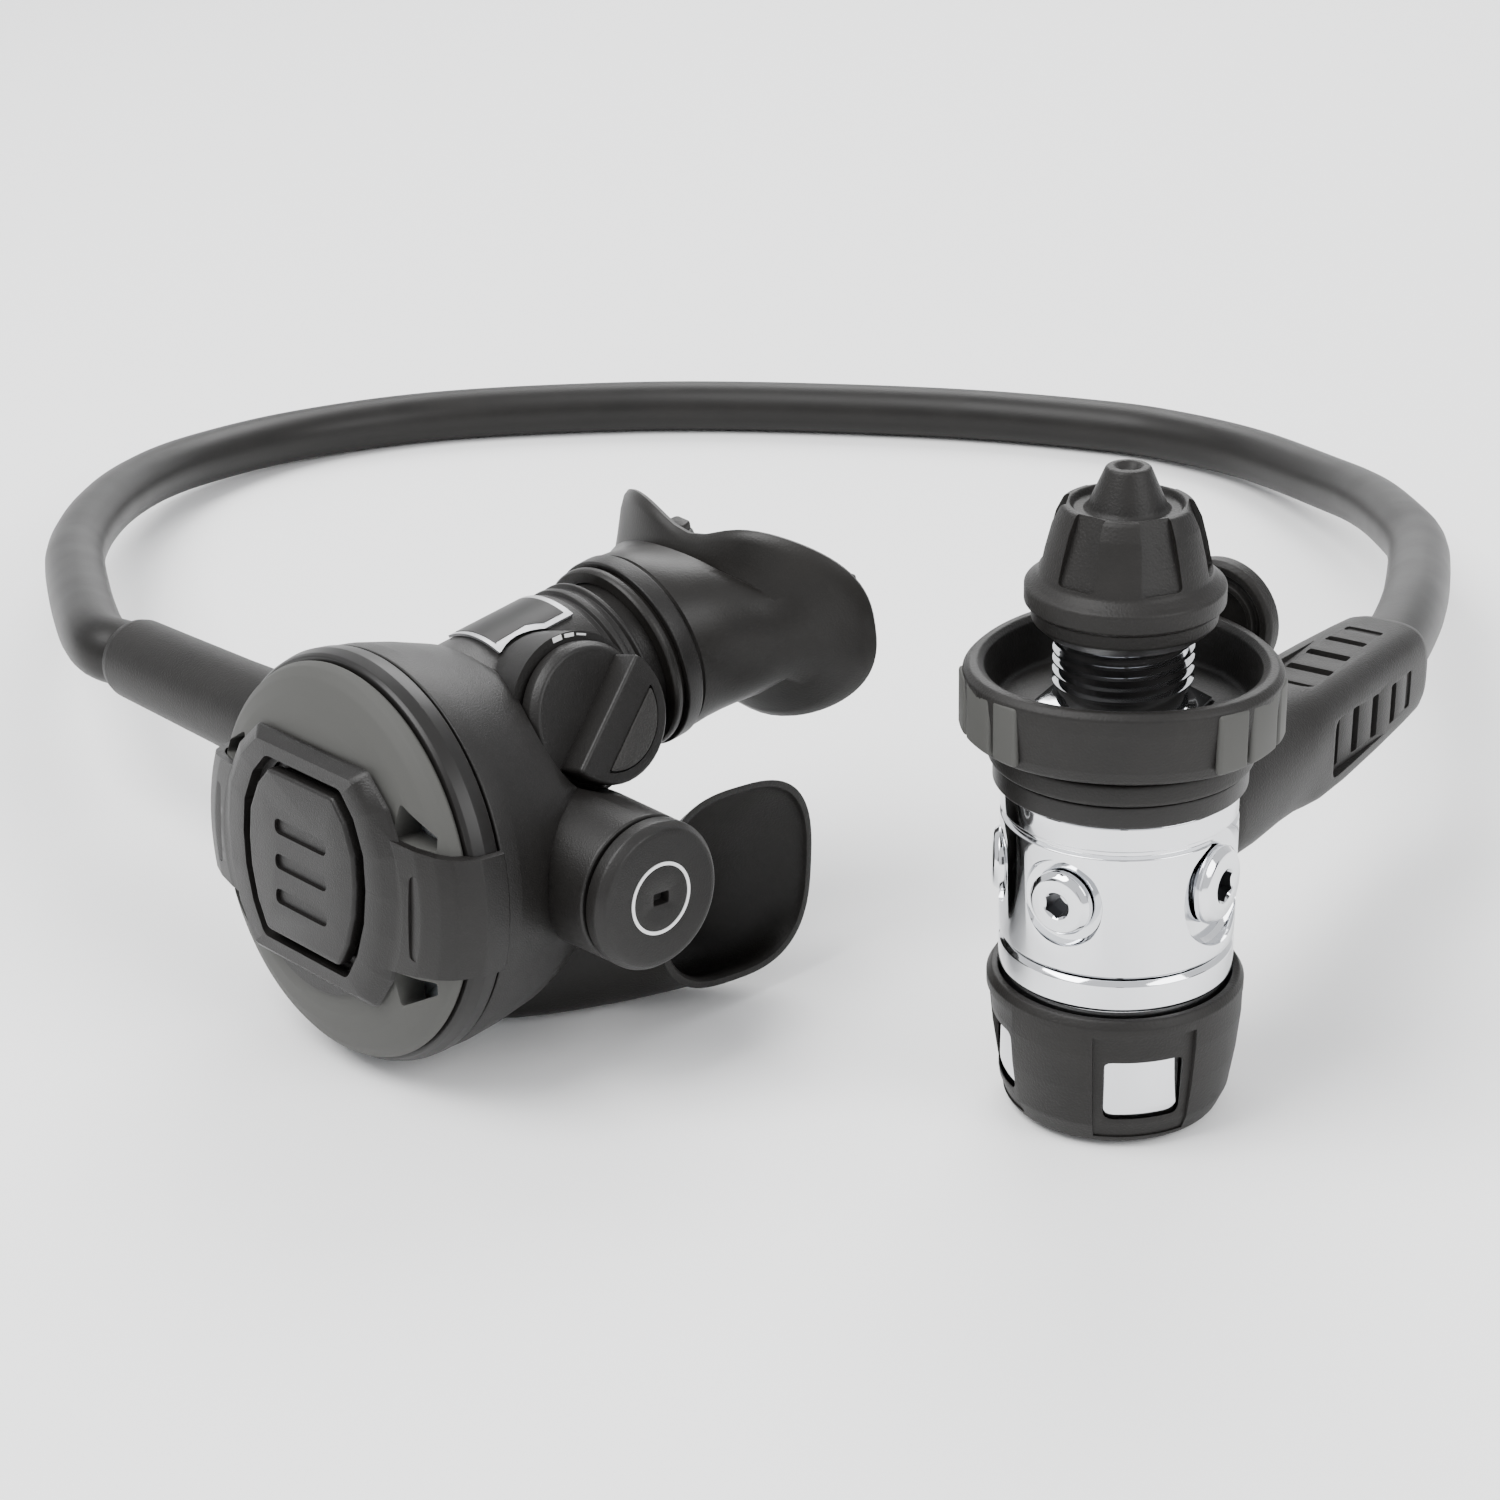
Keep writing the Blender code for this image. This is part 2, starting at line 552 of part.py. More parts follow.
# the hose's way from the first stage's port, down onto the ground, round the back and up to the
# second stage's inlet, in world metres
HOSE_ROUTE = (
    (0.0891, -0.0094, 0.0450), (0.0963, 0.0010, 0.0444), (0.1038, 0.0116, 0.0437),
    (0.1113, 0.0223, 0.0433), (0.1193, 0.0337, 0.0429), (0.1267, 0.0444, 0.0425),
    (0.1388, 0.0788, 0.0382), (0.1485, 0.1166, 0.0315), (0.1548, 0.1469, 0.0265),
    (0.1562, 0.1680, 0.0235), (0.1556, 0.2043, 0.0175), (0.1502, 0.2338, 0.0125),
    (0.1374, 0.2679, 0.0085), (0.1203, 0.2879, 0.0073), (0.1011, 0.3001, 0.0070),
    (0.0613, 0.3144, 0.0069), (0.0063, 0.3250, 0.0069), (-0.0355, 0.3274, 0.0069),
    (-0.0817, 0.3227, 0.0069), (-0.1171, 0.3074, 0.0074), (-0.1403, 0.2826, 0.0095),
    (-0.1507, 0.2549, 0.0130), (-0.1542, 0.2195, 0.0178), (-0.1522, 0.1796, 0.0230),
    (-0.1452, 0.1436, 0.0280),
)


def build_hose(second):
    """The hose as one tube along its route; its second end runs straight into the sleeve."""
    bpy.context.view_layer.update()
    ends = [second.matrix_world @ Vector((x, BARREL_Y, BARREL_Z)) for x in (-0.1290, SLEEVE_END_X, -0.0900, HOSE_END_X)]
    route = smooth_route([*HOSE_ROUTE, *ends], HOSE_STEP)
    curve = bpy.data.curves.new("hose", "CURVE")
    curve.dimensions = "3D"
    curve.bevel_depth = HOSE_R
    curve.bevel_resolution = 2
    curve.use_fill_caps = True
    spline = curve.splines.new("POLY")
    spline.points.add(len(route) - 1)
    for point, place in zip(spline.points, route):
        point.co = (*place, 1.0)
    hose = bpy.data.objects.new("hose", curve)
    bpy.context.collection.objects.link(hose)
    finish(hose, "black_rubber")


# ---------------------------------------------------------------- second stage
TUBE_TURN = Euler((-math.pi / 2 + TUBE_RISE, 0.0, 0.0))
KNOB_TURN = Euler((0.0, math.pi / 2 - KNOB_RISE, 0.0))


def build_case(second):
    """Case: a bowl with barrel bosses, mouthpiece tube, knob boss and exhaust seat."""
    barrel = (0.0, BARREL_Y, BARREL_Z)
    bowl = [
        (0.0, 0.0350), (0.0120, 0.0346), (0.0200, 0.0328), (0.0262, 0.0296), (0.0306, 0.0245),
        (0.0335, 0.0180), (0.0354, 0.0100), (0.0364, 0.0030), (COVER_R - 0.0002, GAP), (0.0340, GAP),
        (0.0340, -0.0040), (0.0, -0.0040),
    ]
    case = turned("case", bowl[::-1], "black_plastic", second, axis="Y", sides=FINE_ROUND)
    right = turned("barrel_boss", [(0.0, 0.0260), (0.0136, 0.0260), (0.0132, 0.0442), (0.0, 0.0442)],
                   None, second, barrel, "X", 24)
    left = turned("inlet_boss", [(0.0, -0.0400), (0.0104, -0.0400), (0.0116, -0.0240), (0.0, -0.0240)],
                  None, second, barrel, "X", 20)
    tube = turned(
        "mouth_tube",
        [(0.0, -0.0330), (TUBE_R, -0.0330), (TUBE_R, -0.0038), (NECK_R, -0.0036), (NECK_R, 0.0130),
         (0.0, 0.0130)],
        None, second, TUBE_AT, TUBE_TURN, ROUND,
    )
    boss = cylinder("knob_boss", 0.0147, 0.0100, 0.0185, None, second, KNOB_AT, KNOB_TURN, 24)
    pocket = cylinder("knob_pocket", 0.0135, 0.0184, 0.0400, None, second, KNOB_AT, KNOB_TURN, 24)
    seat = cylinder("exhaust_seat", 0.0125, -0.0330, -0.0240, None, second, (0.0, 0.0200, 0.0), "Z", 24)
    for piece in (right, left, tube, seat):
        combine(case, piece, "UNION")
    hollow = turned(
        "case_hollow",
        [(0.0, 0.0328), (0.0115, 0.0322), (0.0206, 0.0298), (0.0280, 0.0234), (0.0312, 0.0168),
         (0.0318, 0.0060), (0.0318, -0.0100), (0.0, -0.0100)][::-1],
        None, second, axis="Y", sides=FINE_ROUND,
    )
    tube_bore = cylinder("tube_bore", TUBE_BORE_R, -0.0330, 0.0150, None, second, TUBE_AT, TUBE_TURN, 24)
    barrel_bore = turned(
        "barrel_bore",
        [(0.0, -0.0450), (0.0060, -0.0450), (0.0060, -0.0398), (0.0076, -0.0392), (0.0076, 0.0318),
         (0.0106, 0.0320), (0.0106, 0.0500), (0.0, 0.0500)],
        None, second, barrel, "X", 20,
    )
    shaft_bore = cylinder("shaft_bore", 0.0062, 0.0086, 0.0250, None, second, KNOB_AT, KNOB_TURN, 16)
    exhaust_hole = turned(
        "exhaust_hole",
        [(0.0, -0.0400), (0.0108, -0.0400), (0.0108, -0.0310), (0.0095, -0.0310), (0.0095, -0.0100),
         (0.0, -0.0100)],
        None, second, (0.0, 0.0200, 0.0), "Z", 22,
    )
    combine(case, hollow, "DIFFERENCE", "MANIFOLD")
    combine(case, boss, "UNION", "MANIFOLD")
    for cutter in (pocket, tube_bore, barrel_bore, shaft_bore, exhaust_hole):
        combine(case, cutter, "DIFFERENCE", "MANIFOLD")
    spokes = boxes(
        "exhaust_spokes",
        [((-0.0100, 0.0187, -0.0308), (0.0100, 0.0213, -0.0290))],
        second,
    )
    hub = cylinder("exhaust_hub", 0.0030, -0.0306, -0.0292, None, second, (0.0, 0.0200, 0.0))
    hub_hole = cylinder("exhaust_hub_hole", 0.0012, -0.0320, -0.0280, None, second, (0.0, 0.0200, 0.0),
                        sides=10)
    combine(case, spokes, "UNION", "MANIFOLD")
    combine(case, hub, "UNION", "MANIFOLD")
    combine(case, hub_hole, "DIFFERENCE", "MANIFOLD")


def shield(half_width, half_height, middle):
    """Outline of the purge shield: flat top and bottom, bowed sides. Drawn in x and -z."""
    right = [(0.60, 1.0), (0.82, 0.76), (0.96, 0.42), (1.0, 0.08), (0.97, -0.28), (0.86, -0.66), (0.68, -1.0)]
    side = [(half_width * x, half_height * z + middle) for x, z in right]
    outline = side + [(-x, z) for x, z in side[::-1]]
    return [(x, -z) for x, z in outline]


def build_cover(second):
    """Cover ring, front cover, purge frame with its wings, purge button and spring."""
    ring = [
        (0.0343, -GAP), (COVER_R, -GAP), (COVER_R, -0.0040), (0.0362, -0.0052), (0.0356, -0.0056),
        (0.0322, -0.0056), (0.0322, -0.0050), (0.0343, -0.0050),
    ]
    turned("cover_ring", ring, "black_plastic", second, axis="Y", sides=FINE_ROUND)
    cover = [
        (0.0036, -0.0056 - GAP), (FACE_R - 0.0004, -0.0056 - GAP), (FACE_R, -0.0064), (0.0346, -0.0080),
        (0.0330, -0.0094), (0.0300, -0.0108), (0.0262, -0.0117), (0.0215, -0.0122), (0.0215, -0.0085),
        (0.0036, -0.0072),
    ]
    face = turned("front_cover", cover, "cover_plastic", second, axis="Y", sides=FINE_ROUND)
    vents = []
    for sx in (-1, 1):
        for sz in (-1, 1):
            corners = [(sx * 0.0232, sz * 0.0112), (sx * 0.0305, sz * 0.0114), (sx * 0.0238, sz * 0.0168)]
            outline = [(x, -z) for x, z in corners]
            vents.append(prism(f"vent_{sx}_{sz}", outline, -0.0200, 0.0, None, second, axis="Y"))
    for angle in (45, 135, 225, 315):
        x, y = arc_point(0.0100, angle)
        vents.append(cylinder(f"water_hole_{angle}", 0.0035, -0.0100, 0.0, None, second, (x, 0.0, y), "Y", 8))
    for cutter in vents:
        combine(face, cutter, "DIFFERENCE")

    plate = prism("purge_frame", shield(0.0224, 0.0196, 0.0012), -0.0146, -0.0122 - GAP, "black_plastic",
                  second, axis="Y")
    wing_profile = [
        (0.0205, -0.0126), (0.0262, -0.0121), (0.0301, -0.0112), (0.0332, -0.0098), (0.0350, -0.0083),
        (0.0358, -0.0062), (0.0366, -0.0056), (0.0371, -0.0045), (0.0371, 0.0), (0.0383, 0.0),
        (0.0383, -0.0050), (0.0374, -0.0070), (0.0362, -0.0094), (0.0340, -0.0112), (0.0306, -0.0126),
        (0.0264, -0.0135), (0.0205, -0.0140),
    ]
    wings = turned("wing_blank", wing_profile, None, second, axis="Y", sides=FINE_ROUND)
    span = boxes("wing_span", [((-0.0500, -0.0300, -0.0095), (0.0500, 0.0100, 0.0095))], second)
    combine(wings, span, "INTERSECT")
    combine(plate, wings, "UNION")
    opening = prism("frame_opening", shield(0.0162, 0.0158, 0.0012), -0.0200, -0.0100, None, second, axis="Y")
    combine(plate, opening, "DIFFERENCE")

    press = frame("purge_axis", (0.0, 0.0, 0.0), parent=second)
    button = prism("purge_button", shield(0.0156, 0.0152, 0.0012), -0.0155, -0.0126, "black_plastic",
                   press, axis="Y")
    flange = prism("button_flange", shield(0.0176, 0.0172, 0.0012), -0.0119, -0.0109, None, press, axis="Y")
    middle = prism("button_middle", shield(0.0150, 0.0146, 0.0012), -0.0130, -0.0109, None, press, axis="Y")
    pusher = cylinder("button_pusher", 0.0028, -0.0130, -0.0058, None, press, axis="Y")
    for piece in (middle, flange, pusher):
        combine(button, piece, "UNION")
    coil("purge_spring", 0.0052, 0.00025, -0.0087, -0.0076, 0.9, "steel", second, axis="Y")


def build_valve(second):
    """Diaphragm, lever, barrel, poppet and the pieces of the exhaust."""
    barrel = (0.0, BARREL_Y, BARREL_Z)
    membrane = [
        (0.0150, -0.0047), (0.0250, -0.0047), (0.0275, -0.0027), (0.0300, -0.0047), (0.0338, -0.0047),
        (0.0338, -0.0043), (0.0303, -0.0043), (0.0275, -0.0021), (0.0247, -0.0043), (0.0150, -0.0043),
    ]
    turned("diaphragm", membrane[::-1], "silicone", second, axis="Y")
    press = bpy.data.objects["purge_axis"]
    turned("diaphragm_plate", [(0.0, -0.0055), (0.0140, -0.0051), (0.0146, -0.0046), (0.0146, -0.0036),
                               (0.0140, -0.0034), (0.0, -0.0040)], "steel", press, axis="Y", sides=20)

    pivot = (0.0165, 0.0140, BARREL_Z)
    lever_axis = frame("lever_axis", pivot, parent=second)
    arm = [
        (-0.0200, -0.0172), (-0.0135, -0.0172), (-0.0050, -0.0080), (0.0005, -0.0020), (0.0022, 0.0),
        (0.0005, 0.0016), (-0.0018, 0.0006), (-0.0060, -0.0072), (-0.0140, -0.0160), (-0.0200, -0.0160),
    ]
    prism("demand_lever", arm, -0.0028, 0.0028, "steel", lever_axis)

    tube = [
        (0.0045, -0.0455), (0.0056, -0.0455), (0.0056, -0.0400), (BARREL_R, -0.0388), (BARREL_R, 0.0385),
        (0.0045, 0.0385),
    ]
    turned("valve_barrel", tube, "chrome", second, barrel, "X", 20)
    pipe("orifice", 0.0042, 0.0018, -0.0340, -0.0220, "steel", second, barrel, "X")
    slide = frame("poppet_axis", (0.0, 0.0, 0.0), parent=second)
    cylinder("poppet_seat", 0.0030, -0.0217, -0.0205, "seat_polymer", slide, barrel, "X")
    poppet = [
        (0.0, -0.0202), (0.0034, -0.0202), (0.0034, -0.0180), (0.0021, -0.0180), (0.0021, -0.0100),
        (0.0040, -0.0100), (0.0040, -0.0088), (0.0020, -0.0088), (0.0020, 0.0180), (0.0, 0.0180),
    ]
    turned("poppet", poppet, "steel", slide, barrel, "X")
    coil("poppet_spring", 0.0032, 0.0004, -0.0075, 0.0056, 5.0, "steel", second, barrel, "X")
    pipe("balance_cylinder", 0.0042, 0.0024, 0.0060, 0.0300, "brass", second, barrel, "X")
    pipe("barrel_nut", 0.0103, 0.0075, 0.0324, 0.0380, "chrome", second, barrel, "X")
    cap = [
        (0.0008, 0.0420), (0.0098, 0.0420), (0.0098, 0.0445), (0.0130, 0.0445), (0.0133, 0.0452),
        (0.0133, 0.0470), (0.0128, 0.0482), (0.0118, END_CAP_X), (0.0008, END_CAP_X),
    ]
    turned("end_cap", cap, "black_plastic", second, barrel, "X", ROUND)

    flap = frame("exhaust_axis", (0.0, 0.0200, 0.0), parent=second)
    valve = [
        (0.0, -0.0321), (0.0102, -0.0318), (0.0102, -0.0314), (0.0009, -0.0312), (0.0009, -0.0279),
        (0.0016, -0.0274), (0.0009, -0.0262), (0.0, -0.0262),
    ]
    turned("exhaust_valve", valve, "silicone", flap, sides=20)


def build_knob(second):
    """Venturi knob with its inset and the vane that it turns inside the tube."""
    axis = frame("venturi_axis", KNOB_AT, KNOB_TURN, second)
    base = [(0.0, 0.0188), (KNOB_R - 0.0006, 0.0188), (KNOB_R, 0.0194), (KNOB_R, 0.0216),
            (KNOB_R - 0.0010, 0.0228), (0.0, 0.0230)]
    knob = turned("venturi_knob", base, "black_plastic", axis)
    grip_axis = frame("grip_axis", (0.0, 0.0, 0.0), Euler((0.0, 0.0, GRIP_TURN)), axis)
    moon = []
    for step in range(11):
        angle = math.radians(-97.0 + 194.0 * step / 10)
        moon.append((0.0118 * math.cos(angle), 0.0118 * math.sin(angle)))
    grip = prism("knob_grip", moon, 0.0220, 0.0285, None, grip_axis)
    inset = []
    for step in range(8):
        angle = math.radians(-67.0 + 134.0 * step / 7)
        inset.append((0.0098 * math.cos(angle), 0.0098 * math.sin(angle)))
    pocket = prism("inset_pocket", inset, 0.0275, 0.0300, None, grip_axis)
    shaft = cylinder("knob_shaft", 0.0058, 0.0125, 0.0200, None, axis)
    combine(knob, grip, "UNION")
    combine(knob, shaft, "UNION")
    combine(knob, pocket, "DIFFERENCE", "MANIFOLD")
    shrunk = [((x - 0.0065) * 0.90 + 0.0065, y * 0.93) for x, y in inset]
    prism("knob_inset", shrunk, 0.0275 + GAP, 0.0287, "cover_plastic", grip_axis)
    vane = boxes("venturi_vane", [((-0.0050, -0.0080, 0.0030), (0.0050, -0.0068, 0.0088))], axis)
    foot = cylinder("vane_foot", 0.0048, 0.0098, 0.0112, None, axis)
    stem = boxes("vane_stem", [((-0.0030, -0.0075, 0.0082), (0.0030, 0.0030, 0.0100))], axis)
    combine(vane, foot, "UNION")
    combine(vane, stem, "UNION")
    finish(vane, "black_plastic")


def oval(half_width, half_height, power, centre, steps=22):
    """Ring of a superellipse in the plane across the tube."""
    ring = []
    for step in range(steps):
        angle = 2 * math.pi * step / steps
        c = math.cos(angle)
        s = math.sin(angle)
        x = half_width * math.copysign(abs(c) ** (2.0 / power), c)
        y = half_height * math.copysign(abs(s) ** (2.0 / power), s)
        ring.append((x, y + centre))
    return ring


def mouth_ring(half_width, half_height, power, height, sweep):
    """Ring of the mouthpiece: its sides sweep forward along the tube by up to sweep."""
    ring = []
    for x, y in oval(half_width, half_height, power, 0.0):
        ring.append((x, y, height + sweep * (x / 0.0340) ** 2))
    return ring


def build_mouthpiece(second):
    """Mouthpiece with collar, lip flange and two bite tabs, its tie and the label on the tube."""
    sections = [
        (0.0174, 0.0174, 2.0, 0.0, 0.0), (0.0177, 0.0177, 2.0, 0.0004, 0.0), (0.0177, 0.0177, 2.0, 0.0018, 0.0),
        (0.0170, 0.0170, 2.0, 0.0022, 0.0), (0.0170, 0.0170, 2.0, 0.0068, 0.0),
        (0.0177, 0.0177, 2.0, 0.0072, 0.0), (0.0185, 0.0172, 2.0, 0.0110, 0.0005),
        (0.0220, 0.0155, 2.1, 0.0160, 0.0030), (0.0262, 0.0142, 2.2, 0.0195, 0.0070),
        (0.0325, 0.0200, 2.5, 0.0212, 0.0120), (0.0335, 0.0206, 2.6, 0.0225, 0.0130),
        (0.0325, 0.0200, 2.5, 0.0240, 0.0130), (0.0270, 0.0115, 2.5, 0.0246, 0.0120),
        (0.0262, 0.0090, 2.6, 0.0270, 0.0110),
    ]
    outer = [mouth_ring(*section) for section in sections]
    inner = [
        mouth_ring(0.0153, 0.0153, 2.0, 0.0, 0.0), mouth_ring(0.0153, 0.0153, 2.0, 0.0134, 0.0),
        mouth_ring(0.0148, 0.0125, 2.0, 0.0150, 0.0), mouth_ring(0.0160, 0.0085, 2.2, 0.0200, 0.0040),
        mouth_ring(0.0185, 0.0062, 2.6, 0.0270, 0.0110),
    ]
    mouthpiece = shell("mouthpiece", outer, inner, "black_rubber", second, TUBE_AT, TUBE_TURN)
    for side in (-1, 1):
        tab = prism(
            f"bite_tab_{side}",
            [(side * 0.0195, 0.0270), (side * 0.0280, 0.0300), (side * 0.0285, 0.0450),
             (side * 0.0262, 0.0480), (side * 0.0180, 0.0460), (side * 0.0165, 0.0420),
             (side * 0.0185, 0.0300)],
            -0.0058, 0.0058, None, second, TUBE_AT,
            (TUBE_TURN.to_matrix() @ Matrix.Rotation(math.pi / 2, 3, "X")).to_euler(),
        )
        combine(mouthpiece, tab, "UNION")
    pipe("mouthpiece_tie", 0.0184, 0.0173, 0.0025, 0.0065, "black_plastic", second, TUBE_AT, TUBE_TURN, ROUND)
    plate = []
    for step in range(9):
        plate.append(arc_point(TUBE_R + GAP, -118.0 + 50.0 * step / 8))
    for step in range(9):
        plate.append(arc_point(TUBE_R + 0.0008, -68.0 - 50.0 * step / 8))
    label = prism("label_plate", plate, -0.0280, -0.0110, "label_silver", second, TUBE_AT, TUBE_TURN)
    room = cylinder("label_room", 0.0151, 0.0080, 0.0300, None, second, KNOB_AT, KNOB_TURN, 24)
    combine(label, room, "DIFFERENCE", "MANIFOLD")


def tee_ring(x, low_y, high_y, low_z, high_z, steps=18):
    """Ring of the exhaust tee across its length."""
    ring = []
    half_y = (high_y - low_y) / 2
    half_z = (high_z - low_z) / 2
    for y, z in oval(half_y, half_z, 2.8, 0.0, steps):
        ring.append((x, y + low_y + half_y, z + low_z + half_z))
    return ring


def build_tee(second):
    """Exhaust tee: a hollow wing on either side of the exhaust valve, open at both ends."""
    half = [
        (0.0000, 0.0090, 0.0480, -0.0346, -0.0262), (0.0080, 0.0100, 0.0500, -0.0346, -0.0256),
        (0.0145, 0.0180, 0.0545, -0.0344, -0.0190), (0.0200, 0.0290, 0.0620, -0.0335, -0.0100),
        (0.0260, 0.0370, 0.0690, -0.0310, 0.0010), (0.0310, 0.0385, 0.0735, -0.0285, 0.0075),
        (0.0330, 0.0375, 0.0745, -0.0287, 0.0090),
    ]
    wall = 0.0012
    sections = [(-x, *rest) for x, *rest in half[:0:-1]] + half
    outer = [tee_ring(*section) for section in sections]
    inner = [tee_ring(x, y0 + wall, y1 - wall, z0 + wall, z1 - wall) for x, y0, y1, z0, z1 in sections]
    tee = shell("exhaust_tee", outer, inner, "black_rubber", second)
    mouth = cylinder("tee_inlet", 0.0129, -0.0345, -0.0100, None, second, (0.0, 0.0200, 0.0), sides=24)
    room = turned(
        "case_room",
        [(0.0, -0.01), (0.0373, -0.01), (0.0371, 0.0030), (0.0361, 0.0104), (0.0342, 0.0185),
         (0.0313, 0.0251), (0.0267, 0.0303), (0.0204, 0.0335), (0.0121, 0.0353), (0.0, 0.0357)],
        None, second, axis="Y", sides=FINE_ROUND,
    )
    tube_room = cylinder("tube_room", TUBE_R + 0.0004, -0.0350, 0.0, None, second, TUBE_AT, TUBE_TURN, ROUND)
    barrel_room = cylinder("barrel_room", 0.0142, 0.0100, 0.0600, None, second, (0.0, BARREL_Y, BARREL_Z),
                           "X", 22)
    inlet_room = cylinder("inlet_room", 0.0121, -0.0700, -0.0100, None, second,
                          (0.0, BARREL_Y, BARREL_Z), "X", 22)
    for cutter in (mouth, room, tube_room, barrel_room, inlet_room):
        combine(tee, cutter, "DIFFERENCE")


def main():
    """Build the whole regulator set."""
    clear_scene()
    stage = frame("first_stage_frame", FIRST_STAGE_AT)
    lean = (
        Matrix.Rotation(SECOND_STAGE_YAW, 3, "Z")
        @ Matrix.Rotation(SECOND_STAGE_LEAN, 3, "X")
        @ Matrix.Rotation(SECOND_STAGE_ROLL, 3, "Y")
    )
    second = frame("second_stage_frame", SECOND_STAGE_AT, lean.to_euler())
    build_body(stage)
    build_plugs(stage)
    build_piston(stage)
    build_shroud(stage)
    build_connector(stage)
    build_hose_ends(stage, second)
    build_case(second)
    build_cover(second)
    build_valve(second)
    build_knob(second)
    build_mouthpiece(second)
    build_tee(second)
    build_hose(second)


main()
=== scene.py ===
"""Looks of the scuba regulator set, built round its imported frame.

Pieces are measured in millimetres, which MM takes to metres, and the studio is measured in metres. A piece is
modelled in the frame of the stage that it belongs to and its place is then put into its mesh. The first
stage's frame stands on its axis. The second stage's frame has X along the valve barrel, Y from the front
cover towards the mouthpiece and Z up the cover.
"""

import json
import logging
import math
from collections.abc import Callable, Sequence
from dataclasses import dataclass, field
from enum import Enum

import bmesh
import bpy
from mathutils import Euler, Matrix, Vector

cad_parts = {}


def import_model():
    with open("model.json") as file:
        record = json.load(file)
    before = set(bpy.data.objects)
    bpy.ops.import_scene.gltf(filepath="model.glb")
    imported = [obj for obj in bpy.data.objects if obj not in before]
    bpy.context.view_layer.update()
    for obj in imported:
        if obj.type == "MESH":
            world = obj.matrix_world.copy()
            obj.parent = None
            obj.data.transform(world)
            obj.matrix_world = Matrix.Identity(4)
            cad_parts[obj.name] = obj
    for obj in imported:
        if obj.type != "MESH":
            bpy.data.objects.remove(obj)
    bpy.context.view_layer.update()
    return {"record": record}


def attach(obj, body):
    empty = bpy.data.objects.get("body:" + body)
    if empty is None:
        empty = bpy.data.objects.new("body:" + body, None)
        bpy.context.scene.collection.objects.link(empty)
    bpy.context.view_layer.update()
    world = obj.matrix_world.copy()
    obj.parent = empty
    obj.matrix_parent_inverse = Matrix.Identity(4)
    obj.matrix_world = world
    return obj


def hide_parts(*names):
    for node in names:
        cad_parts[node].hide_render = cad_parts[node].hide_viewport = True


LOG = logging.getLogger("regulator")

Corner = tuple[float, float, float]
Flat = tuple[float, float]
Ring = list[tuple[float, float, float]]

Piece = bpy.types.Object

MM = 0.001
FINE = 112
MEDIUM = 64
CRISP = 38.0
FILLET_SHARE = 0.45
HALF_TURN = math.pi
FULL_TURN = 2.0 * math.pi
QUARTER_TURN = HALF_TURN / 2


class Operation(Enum):
    """What a tool does to the piece that it meets."""

    ADD = "UNION"
    CUT = "DIFFERENCE"
    KEEP = "INTERSECT"


class Body(Enum):
    """The bodies of the frame that pieces ride on."""

    ROOT = "root"
    WHEEL = "wheel"
    CAP = "cap"
    PURGE = "purge"
    VENTURI = "venturi"


